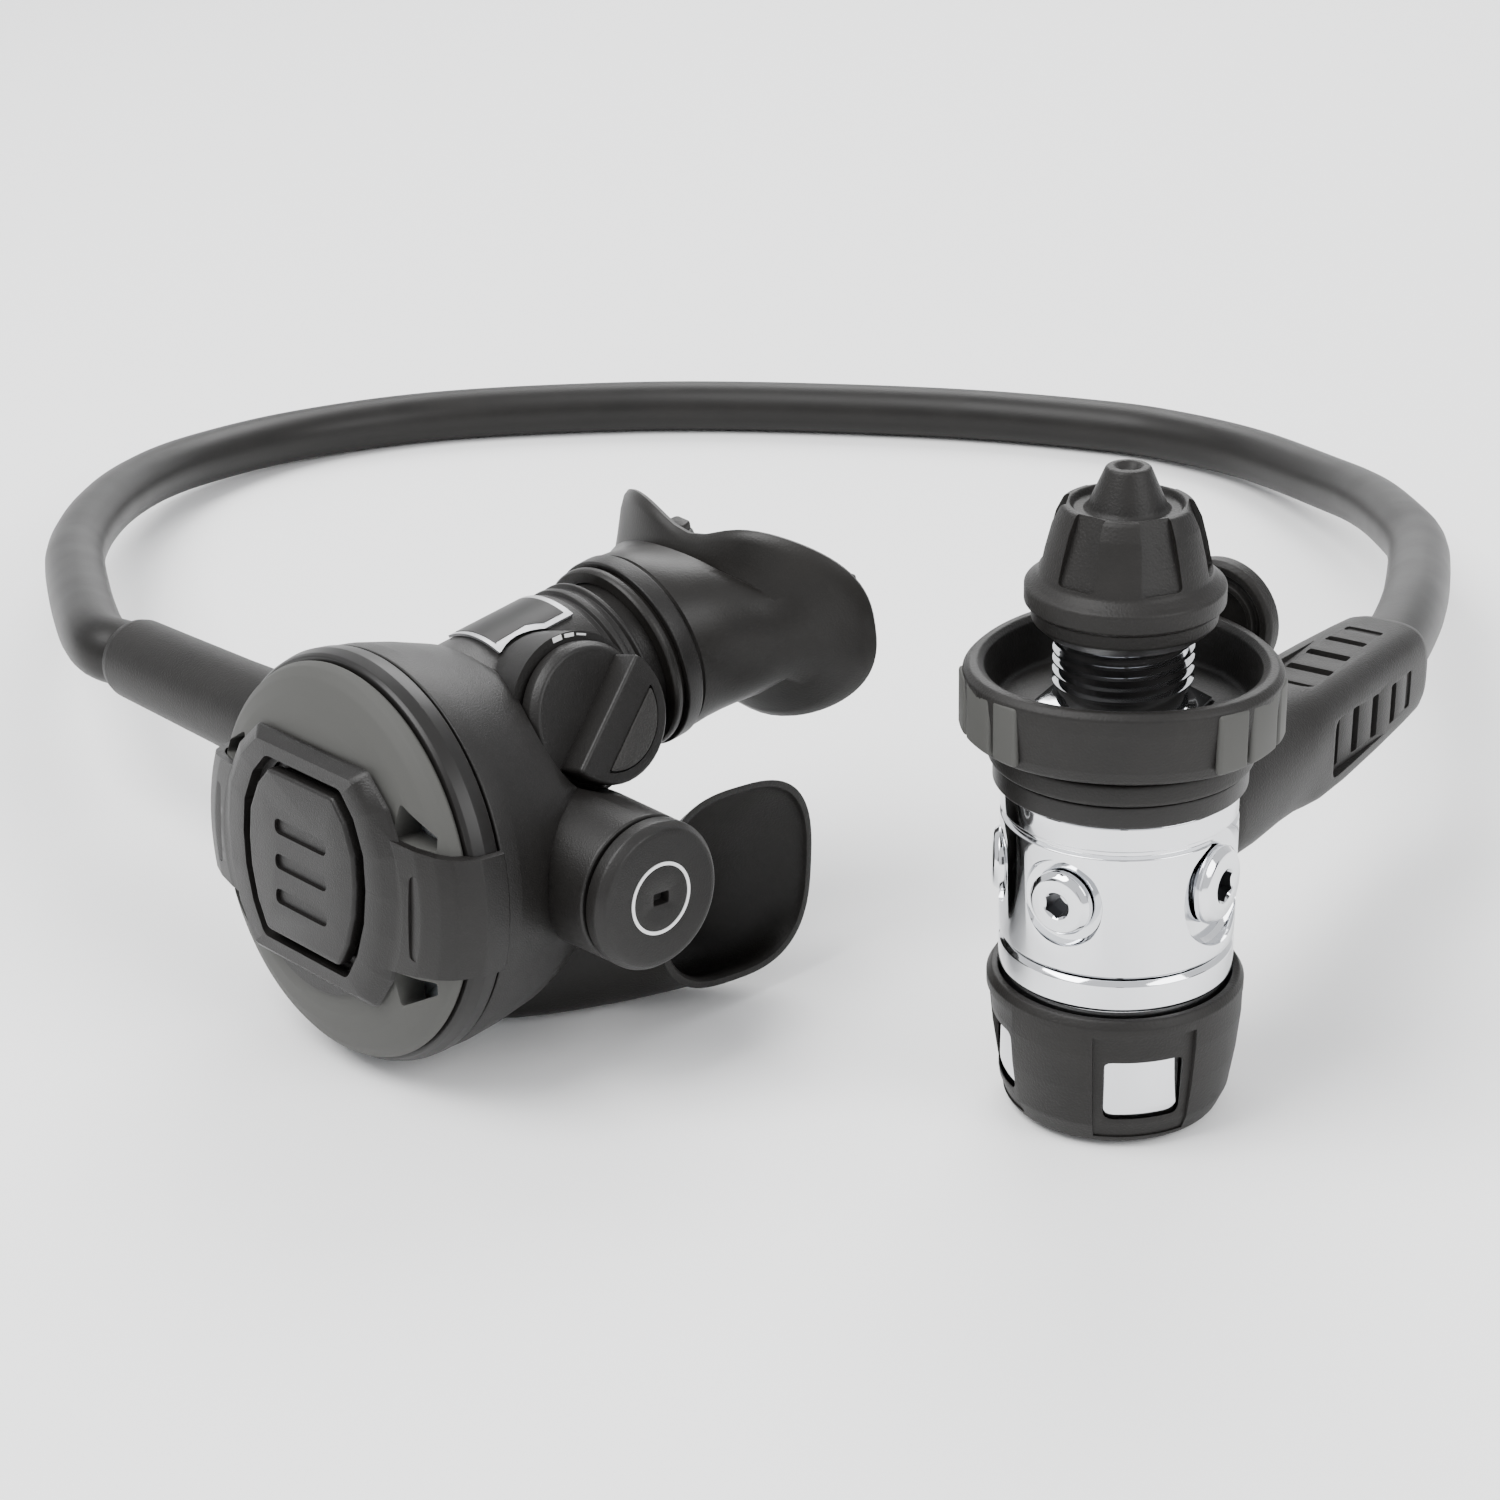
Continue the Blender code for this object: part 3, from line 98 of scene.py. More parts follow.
# ---- finishes
@dataclass(frozen=True)
class Finish:
    """A moulded, turned or plated surface."""

    name: str
    colour: tuple[float, float, float]
    roughness: float
    metallic: float = 0.0
    grain: float = 0.0
    grain_size: float = 0.0004
    cloud: float = 0.0
    spread: float = 0.06
    specular: float = 0.5

    def material(self) -> bpy.types.Material:
        """Build the node material, once.

        Returns:
            The material, with grain in its bump and clouding in its colour and roughness.
        """
        found = bpy.data.materials.get(self.name)
        if found is not None:
            return found
        made = bpy.data.materials.new(self.name)
        made.use_nodes = True
        tree = made.node_tree
        shader = tree.nodes["Principled BSDF"]
        shader.inputs["Base Color"].default_value = (*self.colour, 1.0)
        shader.inputs["Metallic"].default_value = self.metallic
        shader.inputs["Roughness"].default_value = self.roughness
        shader.inputs["Specular IOR Level"].default_value = self.specular
        place = tree.nodes.new("ShaderNodeTexCoord").outputs["Object"]
        patches = self._noise(tree, place, 90.0, 4.0)
        self._vary_colour(tree, shader, patches)
        self._vary_roughness(tree, shader, patches)
        if self.grain > 0.0:
            self._add_grain(tree, shader, place)
        return made

    def _noise(self, tree: bpy.types.NodeTree, place: bpy.types.NodeSocket, scale: float,
               detail: float) -> bpy.types.NodeSocket:
        """Add a noise texture and return its value."""
        noise = tree.nodes.new("ShaderNodeTexNoise")
        noise.inputs["Scale"].default_value = scale
        noise.inputs["Detail"].default_value = detail
        tree.links.new(place, noise.inputs["Vector"])
        return noise.outputs["Fac"]

    def _vary_colour(self, tree: bpy.types.NodeTree, shader: bpy.types.Node,
                     patches: bpy.types.NodeSocket) -> None:
        """Lighten and darken the colour in soft patches."""
        ramp = tree.nodes.new("ShaderNodeValToRGB")
        low = [max(0.0, c * (1.0 - self.cloud)) for c in self.colour]
        high = [min(1.0, c * (1.0 + self.cloud)) for c in self.colour]
        ramp.color_ramp.elements[0].position = 0.35
        ramp.color_ramp.elements[0].color = (*low, 1.0)
        ramp.color_ramp.elements[1].position = 0.68
        ramp.color_ramp.elements[1].color = (*high, 1.0)
        tree.links.new(patches, ramp.inputs["Fac"])
        tree.links.new(ramp.outputs["Color"], shader.inputs["Base Color"])

    def _vary_roughness(self, tree: bpy.types.NodeTree, shader: bpy.types.Node,
                        patches: bpy.types.NodeSocket) -> None:
        """Spread the roughness a little either way."""
        spread = tree.nodes.new("ShaderNodeMapRange")
        spread.inputs["To Min"].default_value = max(0.02, self.roughness - self.spread)
        spread.inputs["To Max"].default_value = min(1.0, self.roughness + self.spread)
        tree.links.new(patches, spread.inputs["Value"])
        tree.links.new(spread.outputs["Result"], shader.inputs["Roughness"])

    def _add_grain(self, tree: bpy.types.NodeTree, shader: bpy.types.Node,
                   place: bpy.types.NodeSocket) -> None:
        """Raise a fine grain on the surface."""
        fine = self._noise(tree, place, 1.0 / self.grain_size, 2.0)
        bump = tree.nodes.new("ShaderNodeBump")
        bump.inputs["Strength"].default_value = 1.0
        bump.inputs["Distance"].default_value = self.grain
        tree.links.new(fine, bump.inputs["Height"])
        tree.links.new(bump.outputs["Normal"], shader.inputs["Normal"])


CHROME = Finish("polished_chrome", (0.74, 0.75, 0.77), 0.07, 1.0, spread=0.03, cloud=0.02)
STEEL = Finish("plain_steel", (0.55, 0.55, 0.56), 0.28, 1.0, grain=0.00001, cloud=0.05)
# Dark finish for the faces inside the hexagon sockets: painted shade of the deep holes, partly the steel's own
# blackening.
SOCKET_SHADE_AND_BLACKENING = Finish("socket_shade_and_blackened_steel", (0.045, 0.045, 0.048), 0.40, 1.0, cloud=0.10)
BRASS = Finish("plain_brass", (0.70, 0.50, 0.25), 0.35, 1.0, cloud=0.08)
BRONZE = Finish("sintered_bronze", (0.50, 0.34, 0.18), 0.70, 0.9, grain=0.0001, cloud=0.2)
HOSE_RUBBER = Finish("hose_rubber", (0.0078, 0.0071, 0.0064), 0.44, grain=0.00003, grain_size=0.0005, cloud=0.15,
                     specular=0.26)
RUBBER = Finish("moulded_rubber", (0.0085, 0.0077, 0.0069), 0.50, grain=0.00008, grain_size=0.0004, cloud=0.18,
                specular=0.26)
SOFT_RUBBER = Finish("mouthpiece_rubber", (0.0092, 0.0083, 0.0073), 0.42, grain=0.00004, cloud=0.15, specular=0.28)
PLASTIC = Finish("satin_plastic", (0.0088, 0.0081, 0.0075), 0.42, grain=0.00006, grain_size=0.0003, cloud=0.12,
                 specular=0.28)
SMOOTH_PLASTIC = Finish("smooth_plastic", (0.0080, 0.0074, 0.0069), 0.37, cloud=0.10, specular=0.27)
GRAINED = Finish("grained_plastic", (0.0085, 0.0078, 0.0070), 0.54, grain=0.00022, grain_size=0.00045, cloud=0.12,
                 specular=0.24)
PANEL = Finish("inset_panel", (0.0170, 0.0158, 0.0145), 0.50, grain=0.00020, grain_size=0.0004, cloud=0.10,
               specular=0.34)
LABEL = Finish("label_metal", (0.55, 0.55, 0.57), 0.28, 0.8, cloud=0.05)
SILICONE = Finish("clear_silicone", (0.50, 0.53, 0.55), 0.40, cloud=0.05)
POLYMER = Finish("seat_polymer", (0.85, 0.84, 0.78), 0.40, cloud=0.03)
PRINT = Finish("white_print", (0.72, 0.72, 0.72), 0.55, cloud=0.05)


# ---- shaping tools
def rounded(outline: Sequence[Corner], steps: int = 4) -> list[Flat]:
    """Round the corners of a closed outline.

    Args:
        outline: corners as (across, along, fillet radius).
        steps: segments in each rounded corner.

    Returns:
        The outline's points.
    """
    corners = [Vector((x * MM, y * MM)) for x, y, _radius in outline]
    points: list[Flat] = []
    for index, (x, y, radius) in enumerate(outline):
        corner = corners[index]
        before = corners[index - 1] - corner
        after = corners[(index + 1) % len(corners)] - corner
        if radius <= 0.0 or before.length == 0.0 or after.length == 0.0:
            points.append((x, y))
            continue
        turn = before.angle(after)
        reach = min(radius * MM / math.tan(turn / 2.0), FILLET_SHARE * before.length, FILLET_SHARE * after.length)
        start = corner + before.normalized() * reach
        stop = corner + after.normalized() * reach
        for step in range(steps + 1):
            t = step / steps
            blend = (1 - t) ** 2 * start + 2 * t * (1 - t) * corner + t ** 2 * stop
            points.append((blend.x / MM, blend.y / MM))
    return points


def shade(mesh: bpy.types.Mesh) -> None:
    """Shade a mesh smooth but for its steep edges."""
    mesh.shade_smooth()
    mesh.set_sharp_from_angle(angle=math.radians(CRISP))


def wedge(start: Corner, stop: Corner) -> list[Flat]:
    """Rounded outline that is even about its length, from two ends as (along, half width, fillet)."""
    (low, low_half, low_fillet), (high, high_half, high_fillet) = start, stop
    return rounded([(low, -low_half, low_fillet), (high, -high_half, high_fillet),
                    (high, high_half, high_fillet), (low, low_half, low_fillet)])


def build(name: str, verts: Sequence[Sequence[float]], faces: Sequence[Sequence[int]], place: Matrix,
          finish: Finish | None = None, unit: float = MM) -> Piece:
    """Make one object from vertices and faces, with its place in its mesh.

    Args:
        name: the object's name.
        verts: points in the local frame.
        faces: indices into verts.
        place: the local frame in the world.
        finish: the surface, or None for a tool.
        unit: the points' unit in metres.

    Returns:
        The object, at the origin.
    """
    shape = bmesh.new()
    made = [shape.verts.new(place @ Vector([value * unit for value in point])) for point in verts]
    for face in faces:
        shape.faces.new([made[i] for i in face])
    bmesh.ops.recalc_face_normals(shape, faces=shape.faces)
    mesh = bpy.data.meshes.new(name)
    shape.to_mesh(mesh)
    shape.free()
    shade(mesh)
    piece = bpy.data.objects.new(name, mesh)
    bpy.context.scene.collection.objects.link(piece)
    if finish is not None:
        mesh.materials.append(finish.material())
    return piece


def turned(name: str, profile: Sequence[Flat], place: Matrix, finish: Finish | None = None, sides: int = FINE,
           shape: Callable[[float, float, float], float] | None = None) -> Piece:
    """Turn a closed profile of (radius, height) points about the local Z axis.

    Args:
        name: the object's name.
        profile: the closed outline; points at radius 0 become poles.
        place: the local frame in the world.
        finish: the surface, or None for a tool.
        sides: steps round the axis.
        shape: reshapes the round section, from (radius, height, angle) to a radius.

    Returns:
        The turned piece.
    """
    verts: list[tuple[float, float, float]] = []
    rows: list[list[int]] = []
    for r, z in profile:
        if r < 1e-7:
            rows.append([len(verts)] * sides)
            verts.append((0.0, 0.0, z))
            continue
        rows.append(list(range(len(verts), len(verts) + sides)))
        for angle, c, s in circle(sides):
            reach = shape(r, z, angle) if shape else r
            verts.append((reach * c, reach * s, z))
    faces: list[list[int]] = []
    for index, row in enumerate(rows):
        following = rows[(index + 1) % len(rows)]
        if row[0] == row[1] and following[0] == following[1]:
            continue
        for step in range(sides):
            after = (step + 1) % sides
            corners = [row[step], row[after], following[after], following[step]]
            faces.append(list(dict.fromkeys(corners)))
    return build(name, verts, faces, place, finish)


def prism(name: str, outline: Sequence[Flat], low: float, high: float, place: Matrix,
          finish: Finish | None = None) -> Piece:
    """Extrude a flat outline along the local Z axis."""
    count = len(outline)
    verts = [(x, y, low) for x, y in outline] + [(x, y, high) for x, y in outline]
    faces = [list(range(count)), list(range(count, 2 * count))]
    for step in range(count):
        after = (step + 1) % count
        faces.append([step, after, count + after, count + step])
    return build(name, verts, faces, place, finish)


def cylinder(name: str, radius: float, low: float, high: float, place: Matrix,
             sides: int = MEDIUM) -> Piece:
    """A plain cylinder, for use as a tool."""
    return turned(name, [(0.0, low), (radius, low), (radius, high), (0.0, high)], place, None, sides)


def box(name: str, low: Sequence[float], high: Sequence[float], place: Matrix) -> Piece:
    """A plain box, for use as a tool."""
    outline = [(low[0], low[1]), (high[0], low[1]), (high[0], high[1]), (low[0], high[1])]
    return prism(name, outline, low[2], high[2], place)


def lofted(name: str, rings: Sequence[Ring], place: Matrix, finish: Finish | None = None,
           wrap: bool = False) -> Piece:
    """Skin a run of rings of equal length.

    Args:
        name: the object's name.
        rings: the sections, in order.
        place: the local frame in the world.
        finish: the surface, or None for a tool.
        wrap: join the last ring to the first, as on an open-ended wall.

    Returns:
        The skinned piece, with flat ends unless wrapped.
    """
    sides = len(rings[0])
    verts = [point for ring in rings for point in ring]
    faces: list[list[int]] = []
    last = len(rings) if wrap else len(rings) - 1
    for ring in range(last):
        here = ring * sides
        there = ((ring + 1) % len(rings)) * sides
        for step in range(sides):
            after = (step + 1) % sides
            faces.append([here + step, here + after, there + after, there + step])
    if not wrap:
        faces.append(list(range(sides)))
        faces.append(list(range((len(rings) - 1) * sides, len(rings) * sides)))
    return build(name, verts, faces, place, finish)


def settle(piece: Piece) -> Piece:
    """Turn a piece's modifiers into its plain mesh."""
    bpy.context.view_layer.update()
    graph = bpy.context.evaluated_depsgraph_get()
    mesh = bpy.data.meshes.new_from_object(piece.evaluated_get(graph))
    piece.modifiers.clear()
    piece.data = mesh
    shade(mesh)
    return piece


def combine(piece: Piece, tool: Piece, operation: Operation) -> Piece:
    """Add, cut or keep the overlap with a tool, which is used up."""
    step = piece.modifiers.new("tool", "BOOLEAN")
    step.operation = operation.value
    step.solver = "MANIFOLD"
    step.object = tool
    settle(piece)
    bpy.data.objects.remove(tool, do_unlink=True)
    return piece


def cut(piece: Piece, tool: Piece) -> Piece:
    """Take a tool's shape out of a piece."""
    return combine(piece, tool, Operation.CUT)


def join(piece: Piece, tool: Piece) -> Piece:
    """Add a tool's shape to a piece."""
    return combine(piece, tool, Operation.ADD)


def soften(piece: Piece, width: float, segments: int = 3, angle: float = 32.0) -> Piece:
    """Round the crisp edges of a piece."""
    step = piece.modifiers.new("edge", "BEVEL")
    step.width = width * MM
    step.segments = segments
    step.limit_method = "ANGLE"
    step.angle_limit = math.radians(angle)
    return settle(piece)


def smoothed(knots: Sequence[Sequence[float]], steps: int) -> list[tuple[float, ...]]:
    """Run a smooth line through knots.

    Args:
        knots: points of any number of values, its own ends held by what comes before and after.
        steps: how many points there are from one knot to the next.

    Returns:
        The line's points, from the second knot to the last but one.
    """
    line: list[tuple[float, ...]] = []
    for spot in range(1, len(knots) - 2):
        for step in range(steps):
            t = step / steps
            line.append(tuple(
                0.5 * (2 * b + (c - a) * t + (2 * a - 5 * b + 4 * c - d) * t ** 2 + (3 * b - a - 3 * c + d) * t ** 3)
                for a, b, c, d in zip(*knots[spot - 1:spot + 3])
            ))
    line.append(tuple(knots[-2]))
    return line


def hexagon(across_flats: float) -> list[Flat]:
    """Corners of a hexagon of a given width across its flats."""
    radius = across_flats / math.sqrt(3.0)
    return [(radius * math.cos(HALF_TURN * k / 3), radius * math.sin(HALF_TURN * k / 3)) for k in range(6)]


def around(radius: float, degrees: float) -> Flat:
    """Point on a circle."""
    return radius * math.cos(math.radians(degrees)), radius * math.sin(math.radians(degrees))


def at(x: float, y: float, z: float, turn: Euler | None = None) -> Matrix:
    """A local frame at a point, turned."""
    turned_by = turn.to_matrix().to_4x4() if turn is not None else Matrix.Identity(4)
    return Matrix.Translation((x * MM, y * MM, z * MM)) @ turned_by


ALONG_X = Euler((0.0, QUARTER_TURN, 0.0))
ALONG_Y = Euler((-QUARTER_TURN, 0.0, 0.0))


def show(piece: Piece, body: Body, *nodes: str) -> Piece:
    """Let a finished piece ride on its body in place of its frame nodes, and report it."""
    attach(piece, body.value)
    if nodes:
        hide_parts(*nodes)
    LOG.info("%s rides on %s with %d faces", piece.name, body.value, len(piece.data.polygons))
    return piece


def tint(piece: Piece, finish: Finish, chosen: Callable[[Vector], bool]) -> None:
    """Give the faces whose middles are chosen another finish."""
    piece.data.materials.append(finish.material())
    slot = len(piece.data.materials) - 1
    for face in piece.data.polygons:
        if chosen(face.center):
            face.material_index = slot


def circle(sides: int) -> list[tuple[float, float, float]]:
    """Angles of equal steps round a circle, with their cosines and sines."""
    angles = [FULL_TURN * step / sides for step in range(sides)]
    return [(angle, math.cos(angle), math.sin(angle)) for angle in angles]


class Repeater:
    """Repeats a piece round an axis with Geometry Nodes."""

    def __init__(self) -> None:
        """Build the node tree: points turned in equal steps, each carrying the piece."""
        tree = bpy.data.node_groups.new("repeat_round_axis", "GeometryNodeTree")
        self.tree = tree
        for label, kind in (("Geometry", "Geometry"), ("Count", "Int"), ("Step", "Float"), ("Finish", "Material")):
            tree.interface.new_socket(label, in_out="INPUT", socket_type="NodeSocket" + kind)
        tree.interface.new_socket("Geometry", in_out="OUTPUT", socket_type="NodeSocketGeometry")
        given = tree.nodes.new("NodeGroupInput")
        points = tree.nodes.new("GeometryNodePoints")
        index = tree.nodes.new("GeometryNodeInputIndex")
        angle = tree.nodes.new("ShaderNodeMath")
        angle.operation = "MULTIPLY"
        turn = tree.nodes.new("ShaderNodeCombineXYZ")
        copies = tree.nodes.new("GeometryNodeInstanceOnPoints")
        real = tree.nodes.new("GeometryNodeRealizeInstances")
        dress = tree.nodes.new("GeometryNodeSetMaterial")
        result = tree.nodes.new("NodeGroupOutput")
        for source, target in (
            (given.outputs["Count"], points.inputs["Count"]), (index.outputs[0], angle.inputs[0]),
            (given.outputs["Step"], angle.inputs[1]), (angle.outputs[0], turn.inputs["Z"]),
            (points.outputs[0], copies.inputs["Points"]), (given.outputs["Geometry"], copies.inputs["Instance"]),
            (turn.outputs[0], copies.inputs["Rotation"]), (copies.outputs[0], real.inputs[0]),
            (real.outputs[0], dress.inputs["Geometry"]), (given.outputs["Finish"], dress.inputs["Material"]),
            (dress.outputs[0], result.inputs[0]),
        ):
            tree.links.new(source, target)

    def repeat(self, piece: Piece, count: int, step: float, place: Matrix,
               finish: Finish) -> Piece:
        """Repeat a piece about the local Z axis, then put it in its place.

        Args:
            piece: the piece, modelled about the origin.
            count: how many there are in the end.
            step: the angle between neighbours, in degrees.
            place: the local frame in the world.
            finish: the surface of every copy.

        Returns:
            The piece with all its copies in its mesh.
        """
        wave = piece.modifiers.new("repeat", "NODES")
        wave.node_group = self.tree
        values = {"Count": count, "Step": math.radians(step), "Finish": finish.material()}
        for socket in self.tree.interface.items_tree:
            if socket.in_out == "INPUT" and socket.name in values:
                wave[socket.identifier] = values[socket.name]
        settle(piece)
        piece.data.transform(place)
        return piece


# ---- frames
@dataclass(frozen=True)
class Frames:
    """The two stages' local frames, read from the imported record's joints."""

    first: Matrix
    second: Matrix

    @staticmethod
    def of(record: dict) -> "Frames":
        """Work the frames out from the joints.

        Args:
            record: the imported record.

        Returns:
            The first and second stage's frames.
        """
        joints = {joint["name"]: joint for joint in record["behaviour"]["joints"]}
        wheel = joints["handwheel_spin"]["pos_m"]
        first = Matrix.Translation((wheel[0], wheel[1], 0.0))
        x_axis = Vector(joints["poppet_travel"]["axis"])
        y_axis = Vector(joints["purge_press"]["axis"])
        z_axis = Vector(joints["lever_pivot"]["axis"])
        turn = Matrix((x_axis, y_axis, z_axis)).transposed()
        pivot_in_stage = Vector((0.0165, 0.0140, 0.0010))
        origin = Vector(joints["lever_pivot"]["pos_m"]) - turn @ pivot_in_stage
        return Frames(first, Matrix.Translation(origin) @ turn.to_4x4())


# ---- studio
@dataclass
class Studio:
    """Pale floor, soft lights and the camera."""

    camera_at: tuple[float, float, float] = (0.0040, -0.5156, 0.2763)
    pitch: float = 24.0
    roll: float = -1.4
    lens: float = 75.6
    sensor: float = 36.0

    def floor(self) -> None:
        """Lay a pale sweep that curves up far behind the set."""
        reach, edge, bend, steps = 3.0, 1.2, 0.8, 12
        rise = [(-reach, 0.0), (edge, 0.0)]
        for step in range(1, steps + 1):
            angle = QUARTER_TURN * step / steps
            rise.append((edge + bend * math.sin(angle), bend - bend * math.cos(angle)))
        rise.append((edge + bend, reach))
        verts = [(x, y, z) for y, z in rise for x in (-reach, reach)]
        faces = [[2 * i, 2 * i + 1, 2 * i + 3, 2 * i + 2] for i in range(len(rise) - 1)]
        paper = Finish("white_paper", (0.96, 0.96, 0.955), 0.75, spread=0.02, cloud=0.002)
        sweep = build("floor", verts, faces, Matrix.Identity(4), paper, unit=1.0)

    def card(self, name: str, at_point: Sequence[float], size: Flat, towards: Sequence[float]) -> None:
        """Stand a dark card where polished metal mirrors it."""
        verts = [(-size[0], -size[1], 0.0), (size[0], -size[1], 0.0), (size[0], size[1], 0.0),
                 (-size[0], size[1], 0.0)]
        aim = (Vector(towards) - Vector(at_point)).to_track_quat("Z", "Y").to_matrix().to_4x4()
        dark = Finish("dark_card", (0.015, 0.015, 0.016), 0.9)
        card = build(name, verts, [[0, 1, 2, 3]], Matrix.Translation(at_point) @ aim, dark, unit=1.0)
        card.visible_shadow = False
        card.visible_diffuse = False
        card.visible_camera = False

    def light(self, name: str, at_point: Sequence[float], size: float, watts: float,
              towards: Sequence[float]) -> None:
        """Hang a square soft light."""
        lamp = bpy.data.lights.new(name, "AREA")
        lamp.shape = "SQUARE"
        lamp.size = size
        lamp.energy = watts
        holder = bpy.data.objects.new(name, lamp)
        bpy.context.scene.collection.objects.link(holder)
        aim = (Vector(towards) - Vector(at_point)).to_track_quat("-Z", "Y")
        holder.location = at_point
        holder.rotation_euler = aim.to_euler()

    def camera(self) -> None:
        """Put the camera at the picture's viewpoint."""
        data = bpy.data.cameras.new("camera")
        data.lens = self.lens
        data.sensor_width = self.sensor
        data.clip_start = 0.01
        view = bpy.data.objects.new("camera", data)
        bpy.context.scene.collection.objects.link(view)
        tilt = Matrix.Rotation(math.radians(90.0 - self.pitch), 4, "X")
        spin = Matrix.Rotation(math.radians(self.roll), 4, "Z")
        view.matrix_world = Matrix.Translation(self.camera_at) @ tilt @ spin
        bpy.context.scene.camera = view

    def make(self) -> None:
        """Set up everything that isn't the object."""
        world = bpy.data.worlds.new("studio")
        world.use_nodes = True
        world.node_tree.nodes["Background"].inputs["Color"].default_value = (0.96, 0.97, 1.0, 1.0)
        world.node_tree.nodes["Background"].inputs["Strength"].default_value = 1.05
        bpy.context.scene.world = world
        self.floor()
        self.light("key", (-0.7, -0.3, 1.3), 0.9, 30.0, (0.0, 0.0, 0.03))
        self.light("fill", (0.9, -0.7, 0.8), 0.7, 11.0, (0.0, 0.0, 0.04))
        self.light("back", (0.2, 1.1, 1.0), 0.8, 14.0, (0.0, 0.1, 0.03))
        self.card("front_card", (0.02, -1.2, 0.10), (0.07, 0.5), (0.06, -0.04, 0.05))
        self.card("left_card", (-0.75, -0.35, 0.15), (0.12, 0.3), (0.06, -0.04, 0.05))
        self.card("right_card", (0.95, -0.25, 0.15), (0.14, 0.3), (0.06, -0.04, 0.05))
        self.camera()


# ---- hose
HOSE_ROUTE: tuple[tuple[float, float, float], ...] = (
    (89.1, -9.4, 45), (96.3, 1, 44.4), (103.8, 11.6, 43.7), (111.3, 22.3, 43.3), (119.3, 33.7, 42.9),
    (126.7, 44.4, 42.5), (138.8, 78.8, 38.2), (148.5, 116.6, 31.5), (154.8, 146.9, 26.5), (156.2, 168, 23.5),
    (155.6, 204.3, 17.5), (150.2, 233.8, 12.5), (137.4, 267.9, 8.5), (120.3, 287.9, 7.3), (101.1, 300.1, 7),
    (61.3, 314.4, 6.9), (6.3, 325, 6.9), (-35.5, 327.4, 6.9), (-81.7, 322.7, 6.9), (-117.1, 307.4, 7.4),
    (-140.3, 282.6, 9.5), (-150.7, 254.9, 13), (-154.2, 219.5, 17.8), (-152.2, 179.6, 23), (-145.2, 143.6, 28),
)
HOSE_END_IN_STAGE: tuple[float, ...] = (-129, -114, -90, -69.3)
BARREL_Y = 23.7
BARREL_Z = 1
TEE_SQUARENESS = 2.8


